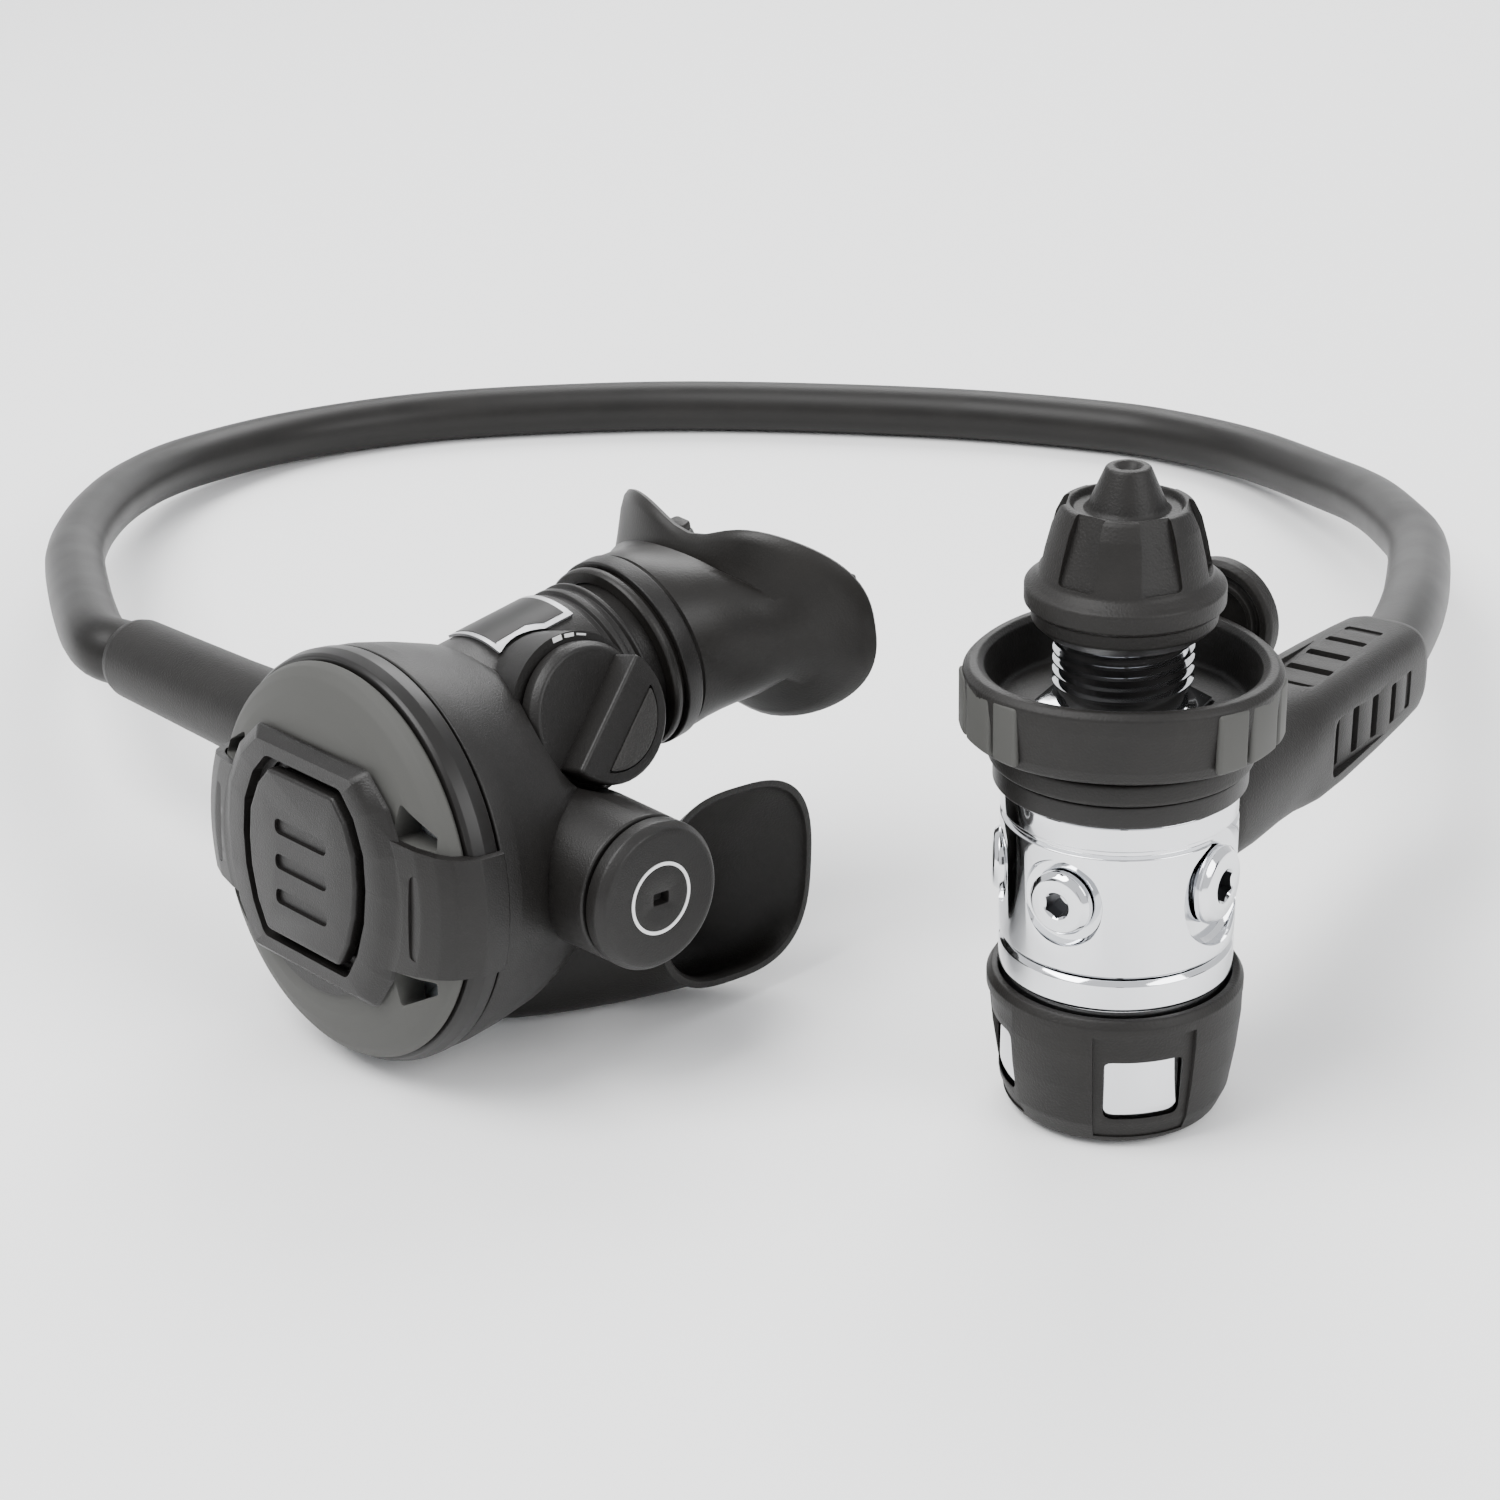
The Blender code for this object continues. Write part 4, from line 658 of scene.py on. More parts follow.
@dataclass
class Hose:
    """Low-pressure hose with its port fitting, ferrules, ribbed protector and smooth sleeve."""

    frames: Frames
    radius: float = 6.8
    port_angle: float = 55.0
    port_height: float = 45
    protector_start: float = 21.5
    protector_length: float = 86.5
    droop: float = 1.66
    taper: float = 0.043
    steps: int = 8

    def route(self) -> list[Vector]:
        """The points that the hose follows, on one smooth curve."""
        ends = [at(x, BARREL_Y, BARREL_Z).translation for x in HOSE_END_IN_STAGE]
        knots = [at(*point).translation for point in HOSE_ROUTE] + [self.frames.second @ end for end in ends]
        held = [2 * knots[0] - knots[1], *knots, 2 * knots[-1] - knots[-2]]
        return [Vector(point) for point in smoothed(held, self.steps)]

    def make_hose(self) -> Piece:
        """The hose as one curve."""
        points = self.route()
        curve = bpy.data.curves.new("hose_tube", "CURVE")
        curve.dimensions = "3D"
        curve.bevel_depth = self.radius * MM
        curve.bevel_resolution = 10
        curve.use_fill_caps = True
        line = curve.splines.new("POLY")
        line.points.add(len(points) - 1)
        for knot, point in zip(line.points, points):
            knot.co = (*point, 1.0)
        line.use_smooth = True
        curve.materials.append(HOSE_RUBBER.material())
        hose = bpy.data.objects.new("hose_tube", curve)
        bpy.context.scene.collection.objects.link(hose)
        return hose

    def section(self, half: float, power: float, height: float, sides: int = 96) -> Ring:
        """A square with rounded corners, flats level and upright."""
        ring: Ring = []
        for _angle, c, s in circle(sides):
            reach = half / (abs(c) ** power + abs(s) ** power) ** (1.0 / power)
            ring.append((reach * c, reach * s, height))
        return ring

    def make_protector(self) -> Piece:
        """Ribbed bend protector: round at its root, square with sunk ribbed windows at its grip."""
        foot = around(self.protector_start, self.port_angle)
        turn = Euler((0, QUARTER_TURN + math.radians(self.droop), math.radians(self.port_angle)))
        place = self.frames.first @ at(*foot, self.port_height, turn)
        stations = [
            (0, 10.8, 2.0), (0.6, 11.3, 2.0), (3, 11.8, 2.0), (12.5, 12.1, 2.0),
            (23, 11.9, 2.0), (30, 11.7, 2.2), (34, 11.5, 2.7), (38.5, 11.3, 3.4),
            (48.5, 11, 3.8), (63.5, 10.4, 3.8), (76.5, 9.7, 3.8), (83.5, 9.3, 3.6),
            (85.6, 8.9, 3.3), (self.protector_length, 8.3, 3.0),
        ]
        outer = [self.section(half, power, height) for height, half, power in stations]
        inner = [self.section(9.6, 2.0, 0), self.section(9.6, 2.0, 30),
                 self.section(7.7, 2.0, 45), self.section(7.1, 2.0, self.protector_length)]
        body = lofted("hose_protector_body", outer + inner[::-1], place, RUBBER, wrap=True)
        for side in range(4):
            faced = place @ Matrix.Rotation(QUARTER_TURN * side, 4, "Z") @ Matrix.Rotation(QUARTER_TURN, 4, "Y")
            window = wedge((-39.5, 5.8, 3), (-80, 4.6, 2))
            lean = faced @ at(-60, 0, 0) @ Matrix.Rotation(self.taper, 4, "Y") @ at(60, 0, 0)
            cut(body, prism("window", window, 10, 20, lean))
            for rib in range(5):
                middle = -44 - 7.8 * rib
                half = 4.6 - 0.25 * rib
                groove = wedge((middle - 1.2, half, 0.5), (middle + 1.2, half, 0.5))
                cut(body, prism("groove", groove, 8.6, 20, lean))
        soften(body, 0.3, 2)
        return body

    def make_sleeve(self) -> Piece:
        """Smooth tapered sleeve over the hose's second end."""
        place = self.frames.second @ at(0, BARREL_Y, BARREL_Z, ALONG_X)
        outline = [
            (7.1, -114, 0), (8, -114, 0.5), (8.4, -112.2, 0.8), (8.6, -100, 2), (9, -78, 2), (9.8, -56, 2),
            (10, -44.7, 0.6), (9, -44.7, 0.2), (9, -50, 0), (8.5, -51, 0), (8.5, -69.2, 0), (7.1, -71, 0),
        ]
        return turned("hose_sleeve_body", rounded(outline), place, RUBBER, MEDIUM)

    def make_fittings(self) -> None:
        """Port fitting's visible collar, and the swivel nut at the second stage."""
        turn = Euler((0, QUARTER_TURN, math.radians(self.port_angle)))
        port = self.frames.first @ at(0, 0, self.port_height, turn)
        collar = prism("fitting_collar", hexagon(15.4), 20.2, 24.7, port, CHROME)
        show(soften(collar, 0.4), Body.ROOT)
        barrel = self.frames.second @ at(0, BARREL_Y, BARREL_Z, ALONG_X)
        nut = prism("swivel_nut_body", hexagon(14.8), -48.8, -40.5, barrel, CHROME)
        cut(nut, cylinder("bore", 5.9, -60, -30, barrel))
        show(soften(nut, 0.4), Body.ROOT, "swivel_nut")

    def make(self) -> None:
        hose = self.make_hose()
        protector = show(self.make_protector(), Body.ROOT, "hose_protector")
        sleeve = show(self.make_sleeve(), Body.ROOT, "hose_sleeve")
        self.make_fittings()
        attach(hose, Body.ROOT.value)
        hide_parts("hose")
        points = self.route()


# ---- first stage
@dataclass
class FirstStage:
    """Chromed body, piston cap, plugs and the black shroud with its windows."""

    base: Matrix
    body_radius: float = 19.7
    port_height: float = 45
    plug_angles: tuple[float, ...] = (115.0, 175.0, 235.0)
    plug_face: float = 18.2
    high_angle: float = 325.0
    high_face: float = 17.2
    hose_angle: float = 55.0
    window_angles: tuple[float, ...] = (8.0, 98.0, 188.0, 278.0)

    def port_frame(self, degrees: float) -> Matrix:
        """Frame of a port, with Z pointing out of it."""
        turn = Euler((0, QUARTER_TURN, math.radians(degrees)))
        return self.base @ at(0, 0, self.port_height, turn)

    def make_body(self) -> None:
        """The body's polished outside with its turned groove and spot-faced ports."""
        r = self.body_radius
        outline = [
            (12, 32.6, 0), (r - 0.3, 32.6, 0), (r, 33, 0.3), (r, 54.1, 0.3), (r - 0.8, 54.5, 0.2),
            (r - 0.8, 55.2, 0.2), (r, 55.6, 0.3), (r, 59.8, 0.6), (r - 1, 60, 0.3), (12, 60, 0),
        ]
        body = turned("body_shell", rounded(outline), self.base, CHROME, FINE)
        for degrees in (*self.plug_angles, self.hose_angle):
            spot = [(0, self.plug_face, 0), (7, self.plug_face, 0), (7.6, self.plug_face + 0.7, 0),
                    (7.8, 30, 0), (0, 30, 0)]
            cut(body, turned("spot", rounded(spot), self.port_frame(degrees), None, MEDIUM))
        spot = [(0, self.high_face, 0), (9.4, self.high_face, 0), (10.1, self.high_face + 0.8, 0),
                (10.3, 30, 0), (0, 30, 0)]
        cut(body, turned("spot", rounded(spot), self.port_frame(self.high_angle), None, MEDIUM))
        show(soften(body, 0.25, 2), Body.ROOT, "first_stage_body")
        cap = [
            (0, 1.6, 0), (16.5, 1.6, 2), (18.4, 4.5, 3), (19.2, 8, 2), (19.2, 26.2, 0), (r - 0.5, 26.4, 0),
            (r, 27, 0.4), (r, 31.2, 0.4), (r - 0.7, 32, 0.3), (15, 32.2, 0), (0, 32.2, 0),
        ]
        show(turned("cap_shell", rounded(cap), self.base, CHROME, FINE), Body.ROOT, "piston_cap")

    @staticmethod
    def in_socket(point: Vector, socket: float, top: float) -> bool:
        """Whether a point of a plug lies inside its socket."""
        return math.hypot(point.x, point.y) < socket * 0.585 and point.z < top - 0.5

    def make_plug(self, name: str, degrees: float, face: float, head: float, socket: float) -> None:
        """A domed port plug with a hexagon socket, darkened inside by painted shade over the steel's own blackening.

        Args:
            name: the frame node that it replaces.
            degrees: the port's angle.
            face: distance of its seat from the axis.
            head: radius of its head.
            socket: width of its socket across the flats.
        """
        seat = face + 0.3
        top = seat + 2.4
        outline = [
            (0, 12, 0), (head * 0.75, 12, 0), (head * 0.75, seat, 0), (head, seat, 0.3),
            (head, seat + 1.2, 0.4), (head * 0.86, top - 0.2, 1), (head * 0.60, top, 0.5),
            (socket * 0.60, top, 0), (socket * 0.50, top - 0.4, 0), (0, top - 0.4, 0),
        ]
        place = self.port_frame(degrees)
        plug = turned(name + "_head", rounded(outline), place, CHROME, MEDIUM)
        key = prism("key", hexagon(socket), top - 3.4, top + 2, place)
        cut(plug, key)
        inward = place.inverted()
        # The faces inside the socket get the dark socket finish: painted shade of the deep hole over the blackened
        # steel.
        tint(plug, SOCKET_SHADE_AND_BLACKENING, lambda middle: self.in_socket(inward @ middle / MM, socket, top))
        show(plug, Body.ROOT, name)

    def make_shroud(self) -> None:
        """Black shroud with four rounded windows in shallow channels."""
        outline = [
            (6, 0, 0), (15.7, 0, 0.8), (18.2, 1.4, 2), (19.8, 5, 3), (20.9, 12, 3), (21.6, 19, 3), (21.7, 24.2, 0.6),
            (20.9, 25.5, 0.6), (19.7, 25.5, 0.3), (19.6, 8, 2), (18.8, 4, 2), (16.8, 1.3, 0), (6, 1.3, 0),
        ]
        shroud = turned("shroud_shell", rounded(outline), self.base, RUBBER, FINE)
        for degrees in self.window_angles:
            turn = at(0, 0, 0, Euler((0, QUARTER_TURN, math.radians(degrees))))
            place = self.base @ turn
            arc = [degrees - 24.0 + 2.0 * step for step in range(25)]
            rings: list[Ring] = []
            for height, inside in ((2.4, 18.3), (5, 19.3), (12, 20.2), (19, 20.8),
                                   (22.4, 20.9)):
                flat = [around(inside, turned_by) for turned_by in arc]
                flat += [around(26, turned_by) for turned_by in arc[::-1]]
                rings.append([(x, y, height) for x, y in flat])
            cut(shroud, lofted("channel", rings, self.base))
            window = wedge((-17.6, 6.8, 1.4), (-6.2, 6.4, 1.8))
            cut(shroud, prism("window", window, 15, 30, place))
        show(soften(shroud, 0.3, 2), Body.ROOT, "cap_shroud")

    def make(self) -> None:
        """Build every piece of the first stage's body."""
        self.make_body()
        for number, degrees in enumerate(self.plug_angles, start=1):
            self.make_plug(f"lp_plug_{number}", degrees, self.plug_face, 5.5, 4)
        self.make_plug("high_plug", self.high_angle, self.high_face, 6.7, 5)
        self.make_shroud()


@dataclass
class Connector:
    """Neck and strap rings, handwheel, threaded insert and dust cap."""

    base: Matrix
    thread_radius: float = 11.45
    thread_pitch: float = 1.814
    thread_low: float = 76.5
    thread_high: float = 90.5
    wheel_radius: float = 25.8
    wheel_corner: float = -37.0
    strap_angle: float = 50.0
    flutes: int = 6
    repeater: Repeater = field(default_factory=Repeater)

    def make_rings(self) -> None:
        """Neck ring and the strap's ring with its arm and upright tab."""
        neck = [(12.3, 60.3, 0), (21, 60.3, 0.4), (21, 64, 0.4), (12.3, 64, 0)]
        show(turned("neck_collar", rounded(neck), self.base, PLASTIC), Body.ROOT, "neck_ring")
        ring = [(12.3, 64.3, 0), (21.9, 64.3, 0.9), (21.9, 68.2, 0.9), (12.3, 68.2, 0)]
        strap = turned("strap_collar", rounded(ring), self.base, RUBBER)
        aim = self.base @ at(0, 0, 0, Euler((0, 0, math.radians(self.strap_angle))))
        arm = wedge((18, 5.2, 0), (33.5, 3.6, 2))
        join(strap, prism("arm", arm, 64.5, 67.5, aim))
        show(soften(strap, 0.3, 2), Body.ROOT, "strap_ring")
        x, y = around(30.5, self.strap_angle)
        inward = Euler((0, -QUARTER_TURN, math.radians(self.strap_angle)))
        place = self.base @ at(x, y, 78.5, inward)
        dish = [
            (0, -2.1, 0), (9.2, -2.1, 0.6), (10.5, -1, 1), (10.5, 1.4, 0.6), (9.6, 2.1, 0.5), (8.4, 1.9, 0.4),
            (7.9, 0.7, 0.3), (7.1, 0.7, 0.3), (6.7, 1.7, 0.3), (5.8, 1.7, 0.3), (5.2, 0.3, 0.4), (0, 0.3, 0),
        ]
        tab = turned("strap_button", rounded(dish), place, RUBBER, MEDIUM)
        show(tab, Body.ROOT, "strap_tab")

    def wheel_outline(self, r: float, _z: float, angle: float) -> float:
        """Radius of the handwheel's section: a circle drawn out into three soft corners."""
        share = max(0, min(1.0, (r - 20.5) / 4))
        return r + 0.9 * share * math.cos(3.0 * (angle - math.radians(self.wheel_corner)))

    def make_wheel(self) -> None:
        """Handwheel cup with its rolled rim and hexagon seat."""
        r = self.wheel_radius
        outline = [
            (12.8, 68.6, 0), (22.8, 68.6, 1), (r - 1.4, 69.2, 1.4), (r - 0.8, 71.2, 2), (r - 0.1, 78, 4),
            (r, 80.5, 0.8), (r - 1, 81.5, 0.9), (23.5, 81.5, 0.9), (22.4, 80.6, 0.8), (21.5, 76.5, 2),
            (20.7, 73.3, 1.2), (12.8, 73, 0),
        ]
        wheel = turned("handwheel_cup", rounded(outline), self.base, RUBBER, 144, self.wheel_outline)
        seat = prism("seat", hexagon(26.2), 66, 80, self.base)
        cut(wheel, seat)
        show(soften(wheel, 0.2, 2), Body.WHEEL, "handwheel")

    def make_grips(self) -> None:
        """Three speckled pads on each of the handwheel's three corners."""
        low, high = self.wheel_radius - 0.6, self.wheel_radius + 0.85
        for name, start, stop in (("left", -25.0, -11.5), ("middle", -10.0, 8.0), ("right", 9.5, 21.0)):
            turns = [self.wheel_corner + start + (stop - start) * step / 8 for step in range(9)]
            outline = [around(high, turn) for turn in turns] + [around(low, turn) for turn in turns[::-1]]
            pad = prism(f"grip_pads_{name}", outline, 70.2, 80.3, Matrix.Identity(4), GRAINED)
            soften(pad, 0.6, 3)
            show(self.repeater.repeat(pad, 3, 120.0, self.base, GRAINED), Body.WHEEL)

    def make_insert(self) -> None:
        """Hexagon flange and the threaded stub, whose thread winds up it as one ridge."""
        root = self.thread_radius - 0.9
        core = [
            (8.5, 70.6, 0), (11.8, 70.6, 0), (11.8, 73.8, 0), (root, 74, 0.2),
            (root, 90.2, 0.4), (root - 0.6, 91, 0.3), (9.8, 91, 0), (9.8, 82.2, 0),
            (8.5, 82.2, 0),
        ]
        stub = turned("threaded_stub", rounded(core), self.base, CHROME, FINE)
        flange = prism("flange", hexagon(25.4), 70.6, 73.8, self.base)
        cut(flange, cylinder("bore", 11, 60, 90, self.base))
        soften(flange, 0.4, 2)
        join(stub, flange)
        per_turn = 48
        turns = (self.thread_high - self.thread_low) / self.thread_pitch
        rings: list[Ring] = []
        for step in range(int(turns * per_turn) + 1):
            angle = FULL_TURN * step / per_turn
            height = self.thread_low + self.thread_pitch * step / per_turn
            fade = min(1.0, step / 10, (int(turns * per_turn) - step) / 10)
            crest = root + 0.9 * max(0.08, fade)
            profile = ((root - 0.4, -0.82), (crest, -0.18), (crest, 0.18), (root - 0.4, 0.82))
            rings.append([(r * math.cos(angle), r * math.sin(angle), height + z) for r, z in profile])
        thread = lofted("thread_ridge", rings, self.base, CHROME)
        show(stub, Body.WHEEL, "wheel_insert")
        show(thread, Body.WHEEL)

    def make_dust_cap(self) -> None:
        """Dust cap with its flange, fluted dome and dimpled nose."""
        outline = [
            (0, 112.8, 0), (1.2, 112.9, 0.6), (2.4, 114, 0.8), (3.6, 113.8, 0.8), (4.8, 111, 3), (6.4, 107.4, 2),
            (7, 106.8, 0.6), (8.6, 106.8, 0.5), (9.2, 108, 0.6), (10.6, 107.8, 1.2), (12, 105, 4), (13.1, 100.9, 6),
            (14.1, 96.2, 1.5), (15.3, 95.1, 1.2), (16.25, 94.4, 0.8), (16.25, 91.4, 0.7), (15.3, 90.8, 0.5),
            (15, 88.4, 1), (12.8, 86.4, 0.6), (11.8, 86.8, 0.2), (11.8, 95.5, 0), (0, 95.5, 0),
        ]
        cap = turned("dust_cap_shell", rounded(outline, 6), self.base, RUBBER, 144)
        slope = Euler((0, QUARTER_TURN - 0.295, 0))
        recess = wedge((-13, 2.2, 0), (3.4, 3.6, 0.9))
        first = at(0, 0, 0, Euler((0, 0, math.radians(-72.0))))
        panel = prism("recess", recess, -0.3, 10, first @ at(12.2, 0, 100, slope))
        cut(cap, self.repeater.repeat(panel, self.flutes, 60.0, self.base, RUBBER))
        show(soften(cap, 0.35, 3), Body.CAP, "dust_cap")

    def make(self) -> None:
        """Build every piece of the connector."""
        self.make_rings()
        self.make_wheel()
        self.make_grips()
        self.make_insert()
        self.make_dust_cap()


# ---- second stage
@dataclass
class SecondStage:
    """Case, cover, purge frame and button, knob, tee and mouthpiece."""

    base: Matrix
    cover_radius: float = 36.8
    tube_at: tuple[float, float, float] = (0, 53.5, 24.4)
    tube_rise: float = 13.4
    tube_radius: float = 17
    knob_at: tuple[float, float, float] = (0, 31, 19.1)
    knob_rise: float = 14.0
    knob_turn: float = 48.0

    def along(self, turn: Euler, x: float = 0, y: float = 0, z: float = 0) -> Matrix:
        """A frame in the second stage."""
        return self.base @ at(x, y, z, turn)

    @property
    def tube(self) -> Matrix:
        """Frame of the mouthpiece tube, with Z along it."""
        return self.along(Euler((math.radians(self.tube_rise) - QUARTER_TURN, 0, 0)), *self.tube_at)

    @property
    def knob(self) -> Matrix:
        """Frame of the knob, with Z along its shaft."""
        shaft = self.along(Euler((0, QUARTER_TURN - math.radians(self.knob_rise), 0)), *self.knob_at)
        return shaft @ Matrix.Rotation(math.radians(self.knob_turn), 4, "Z")

    @property
    def barrel(self) -> Matrix:
        """Frame of the valve barrel, with Z along it."""
        return self.along(ALONG_X, 0, BARREL_Y, BARREL_Z)

    def make_case(self) -> None:
        """The case: a bowl with its barrel bosses, mouthpiece tube and knob seat."""
        front = self.along(ALONG_Y)
        bowl = [
            (0, 35, 0), (12, 34.6, 10), (20, 32.8, 10), (26.2, 29.6, 10),
            (30.6, 24.5, 10), (33.5, 18, 10), (35.4, 10, 10), (36.4, 4, 4),
            (self.cover_radius - 0.2, 0.3, 0.4), (34, 0.3, 0), (34, -3.8, 0),
            (0, -3.8, 0),
        ]
        case = turned("case_shell", rounded(bowl)[::-1], front, PLASTIC, FINE)
        boss = [(0, 20, 0), (13.8, 20, 0), (13.3, 44, 0.6), (0, 44.2, 0)]
        join(case, turned("boss", rounded(boss), self.barrel, None, 80))
        inlet = [(0, -40, 0), (10.4, -40, 0.8), (11.8, -22, 0), (0, -22, 0)]
        join(case, turned("inlet", rounded(inlet), self.barrel, None, 80))
        r = self.tube_radius
        tube = [
            (0, -33, 0), (r, -33, 0), (r, -9.4, 0.3), (r - 0.7, -9, 0.2), (r - 0.7, -7.9, 0.2), (r, -7.5, 0.3),
            (r, -6.4, 0.3), (r - 0.7, -6, 0.2), (r - 0.7, -4.9, 0.2), (r, -4.5, 0.3), (r, -3.8, 0.3), (15, -3.6, 0),
            (15, 13, 0.4), (0, 13, 0),
        ]
        join(case, turned("tube", rounded(tube), self.tube, None, 96))
        join(case, cylinder("seat", 12.5, -33, -24, self.along(Euler(), 0, 20)))
        hollow = [
            (0, 32.8, 0), (11.5, 32.2, 0), (20.6, 29.8, 0), (28, 23.4, 0), (31.2, 16.8, 0), (31.8, 6, 0),
            (31.8, -10, 0), (0, -10, 0),
        ]
        cut(case, turned("hollow", rounded(hollow)[::-1], front, None, 72))
        join(case, cylinder("knob_seat", 14.7, 10, 18.5, self.knob))
        cuts = (
            ("pocket", 13.5, 18.4, 40, self.knob), ("throat", 13, -33, 15, self.tube),
            ("barrel_bore", 7.6, -39.2, 32, self.barrel), ("mouth", 10.6, 32, 50, self.barrel),
            ("inlet_bore", 6, -45, -38, self.barrel), ("shaft_bore", 6.2, 8.6, 25, self.knob),
            ("exhaust", 10.8, -40, -31, self.along(Euler(), 0, 20)),
            ("valve_hole", 9.5, -32, -10, self.along(Euler(), 0, 20)),
        )
        for name, radius, low, high, place in cuts:
            cut(case, cylinder(name, radius, low, high, place))
        spokes = box("spokes", (-10, 18.7, -30.8), (10, 21.3, -29), self.base)
        join(case, spokes)
        join(case, cylinder("hub", 3, -30.6, -29.2, self.along(Euler(), 0, 20), 24))
        cut(case, cylinder("hub_hole", 1.2, -32, -28, self.along(Euler(), 0, 20), 20))
        show(case, Body.ROOT, "case")

    def shield(self, half_width: float, half_height: float, fillet: float) -> list[Flat]:
        """Outline of the purge shield in x and -z: flat top and bottom, bowed sides.

        Args:
            half_width: its greatest half width.
            half_height: its half height.
            fillet: radius of its corners.

        Returns:
            The rounded outline.
        """
        right = [(0.60, 1.0), (0.82, 0.76), (0.97, 0.42), (1.0, 0.06), (0.97, -0.30), (0.86, -0.68), (0.68, -1.0)]
        side = [(half_width * x, half_height * z + 1.2, fillet) for x, z in right]
        outline = side + [(-x, z, f) for x, z, f in side[::-1]]
        return [(x, -z) for x, z in rounded(outline)]

    def make_cover(self) -> None:
        """Smooth ring and the grained front cover with its four slots."""
        front = self.along(ALONG_Y)
        c = self.cover_radius
        ring = [
            (34.3, -0.3, 0), (c, -0.3, 0.4), (c + 0.1, -3, 1), (c - 0.5, -5, 1), (35.8, -5.7, 0.5), (32.2, -5.6, 0),
            (32.2, -5, 0), (34.3, -5, 0),
        ]
        show(turned("cover_rim", rounded(ring), front, SMOOTH_PLASTIC, 144), Body.ROOT, "cover_ring")
        dome = [
            (3.6, -5.9, 0), (34.9, -5.9, 0.3), (35.3, -6.5, 0.6), (34.6, -8, 2), (33, -9.4, 3), (30, -10.8, 5),
            (26.2, -11.7, 5), (21.5, -12.2, 0), (21.5, -8.5, 0), (3.6, -7.2, 0),
        ]
        cover = turned("cover_face", rounded(dome), front, GRAINED, 144)
        for side_x in (-1, 1):
            for side_z in (-1, 1):
                corners = [(21.5, 12, 0), (30.6, 11.8, 0.6), (30.2, 14.2, 0.6),
                           (22.6, 18.4, 0.6)]
                outline = [(side_x * x, -side_z * z) for x, z in rounded(corners)]
                cut(cover, prism("vent", outline, -20, 0, front))
        for degrees in (45, 135, 225, 315):
            x, z = around(10, degrees)
            cut(cover, cylinder("hole", 3.5, -10, 0, self.along(ALONG_Y, x, 0, z), 32))
        show(soften(cover, 0.3, 2), Body.ROOT, "front_cover")

    def make_purge(self) -> None:
        """Purge frame with its two wings, and the purge button inside it."""
        front = self.along(ALONG_Y)
        levels = ((26.2, 21.2, -12.4), (25.8, 21, -13.1), (22.6, 19.4, -14.8),
                  (18, 17, -14.9), (17.8, 16.8, -12.4))
        rings = [[(x, z, height) for x, z in self.shield(across, tall, 2.2)] for across, tall, height in levels]
        plate = lofted("purge_surround", rings, front, PLASTIC)
        wing = [
            (20.5, -12.6, 0), (26.2, -12.1, 4), (30.1, -11.2, 4), (33.2, -9.8, 3), (35, -8.3, 2), (35.8, -6.2, 0.5),
            (36.6, -5.6, 0.5), (37.1, -4.5, 0.5), (37.1, 0, 0), (38.3, 0, 0.4), (38.3, -5, 1.5), (37.4, -7, 2),
            (36.2, -9.4, 3), (34, -11.2, 3), (30.6, -12.6, 4), (26.4, -13.5, 4), (20.5, -14, 0),
        ]
        wings = turned("wings", rounded(wing), front, None, 144)
        span = [(-50, -8.5), (-20, -11.2), (20, -11.2), (50, -8.5),
                (50, 9.8), (20, 12.8), (-20, 12.8), (-50, 9.8)]
        combine(wings, prism("span", [(x, -z) for x, z in span], -30, 10, front), Operation.KEEP)
        join(plate, wings)
        collar = [(18.5, -12.4), (22.4, -12.4), (22.4, -12.9), (18.5, -13)]
        join(plate, turned("collar", collar, front, None, 96))
        for side_x in (-1, 1):
            slot = wedge((27.6, 7.8, 1.2), (30.8, 7.2, 1.2))
            outline = [(side_x * x, z) for x, z in slot]
            cut(plate, prism("groove", outline, -20, -12.7, front))
        cut(plate, prism("opening", self.shield(16.2, 15.8, 2), -20, -10, front))
        show(soften(plate, 0.6, 3), Body.ROOT, "purge_frame")
        button = prism("purge_pad", self.shield(15.6, 15.2, 1.8), -15.5, -12.6, front, PLASTIC)
        soften(button, 0.7, 3)
        for name, half, high, low in (("skirt", 15, 14.6, -13), ("lip", 17.6, 17.2, -11.9)):
            join(button, prism(name, self.shield(half, high, 2), low, -10.9, front))
        for bar in (-6.5, 0, 6.5):
            groove = rounded([(-7.5, bar - 1.4, 1.3), (7.5, bar - 1.4, 1.3),
                              (7.5, bar + 1.4, 1.3), (-7.5, bar + 1.4, 1.3)])
            cut(button, prism("bar", groove, -20, -14.8, front))
        join(button, cylinder("pusher", 2.8, -13, -5.8, front, 24))
        show(button, Body.PURGE, "purge_button")

    def make_end_cap(self) -> None:
        """Barrel end cap with its small drive hole."""
        outline = [
            (0, 42, 0), (9.8, 42, 0), (9.8, 44.6, 0), (12.8, 44.6, 0.4), (13.3, 45.2, 0.3), (13.3, 47.4, 1),
            (12.2, 48.9, 1), (11.4, 49, 0.2), (6.6, 49, 0.1), (6.4, 48.8, 0.1), (6, 48.8, 0.1), (5.8, 49, 0.1),
            (0, 49, 0),
        ]
        cap = turned("barrel_cap", rounded(outline), self.barrel, PLASTIC, 96)
        hole = wedge((-1.1, 1.7, 0.4), (1.1, 1.7, 0.4))
        cut(cap, prism("drive", hole, 47, 50, self.barrel))
        show(soften(cap, 0.12, 2, 50.0), Body.ROOT, "end_cap")
        ring = [(5.9, 48.9), (6.5, 48.9), (6.5, 49.06), (5.9, 49.06)]
        show(turned("printed_ring", ring, self.barrel, PRINT, 96), Body.ROOT)

    def moon(self, radius: float, spread: float, fillet: float) -> list[Flat]:
        """Outline of a rounded half moon about the knob's axis."""
        arc = []
        for step in range(25):
            angle = math.radians(-spread + 2 * spread * step / 24)
            arc.append((radius * math.cos(angle), radius * math.sin(angle), fillet if step in (0, 24) else 0))
        return rounded(arc)

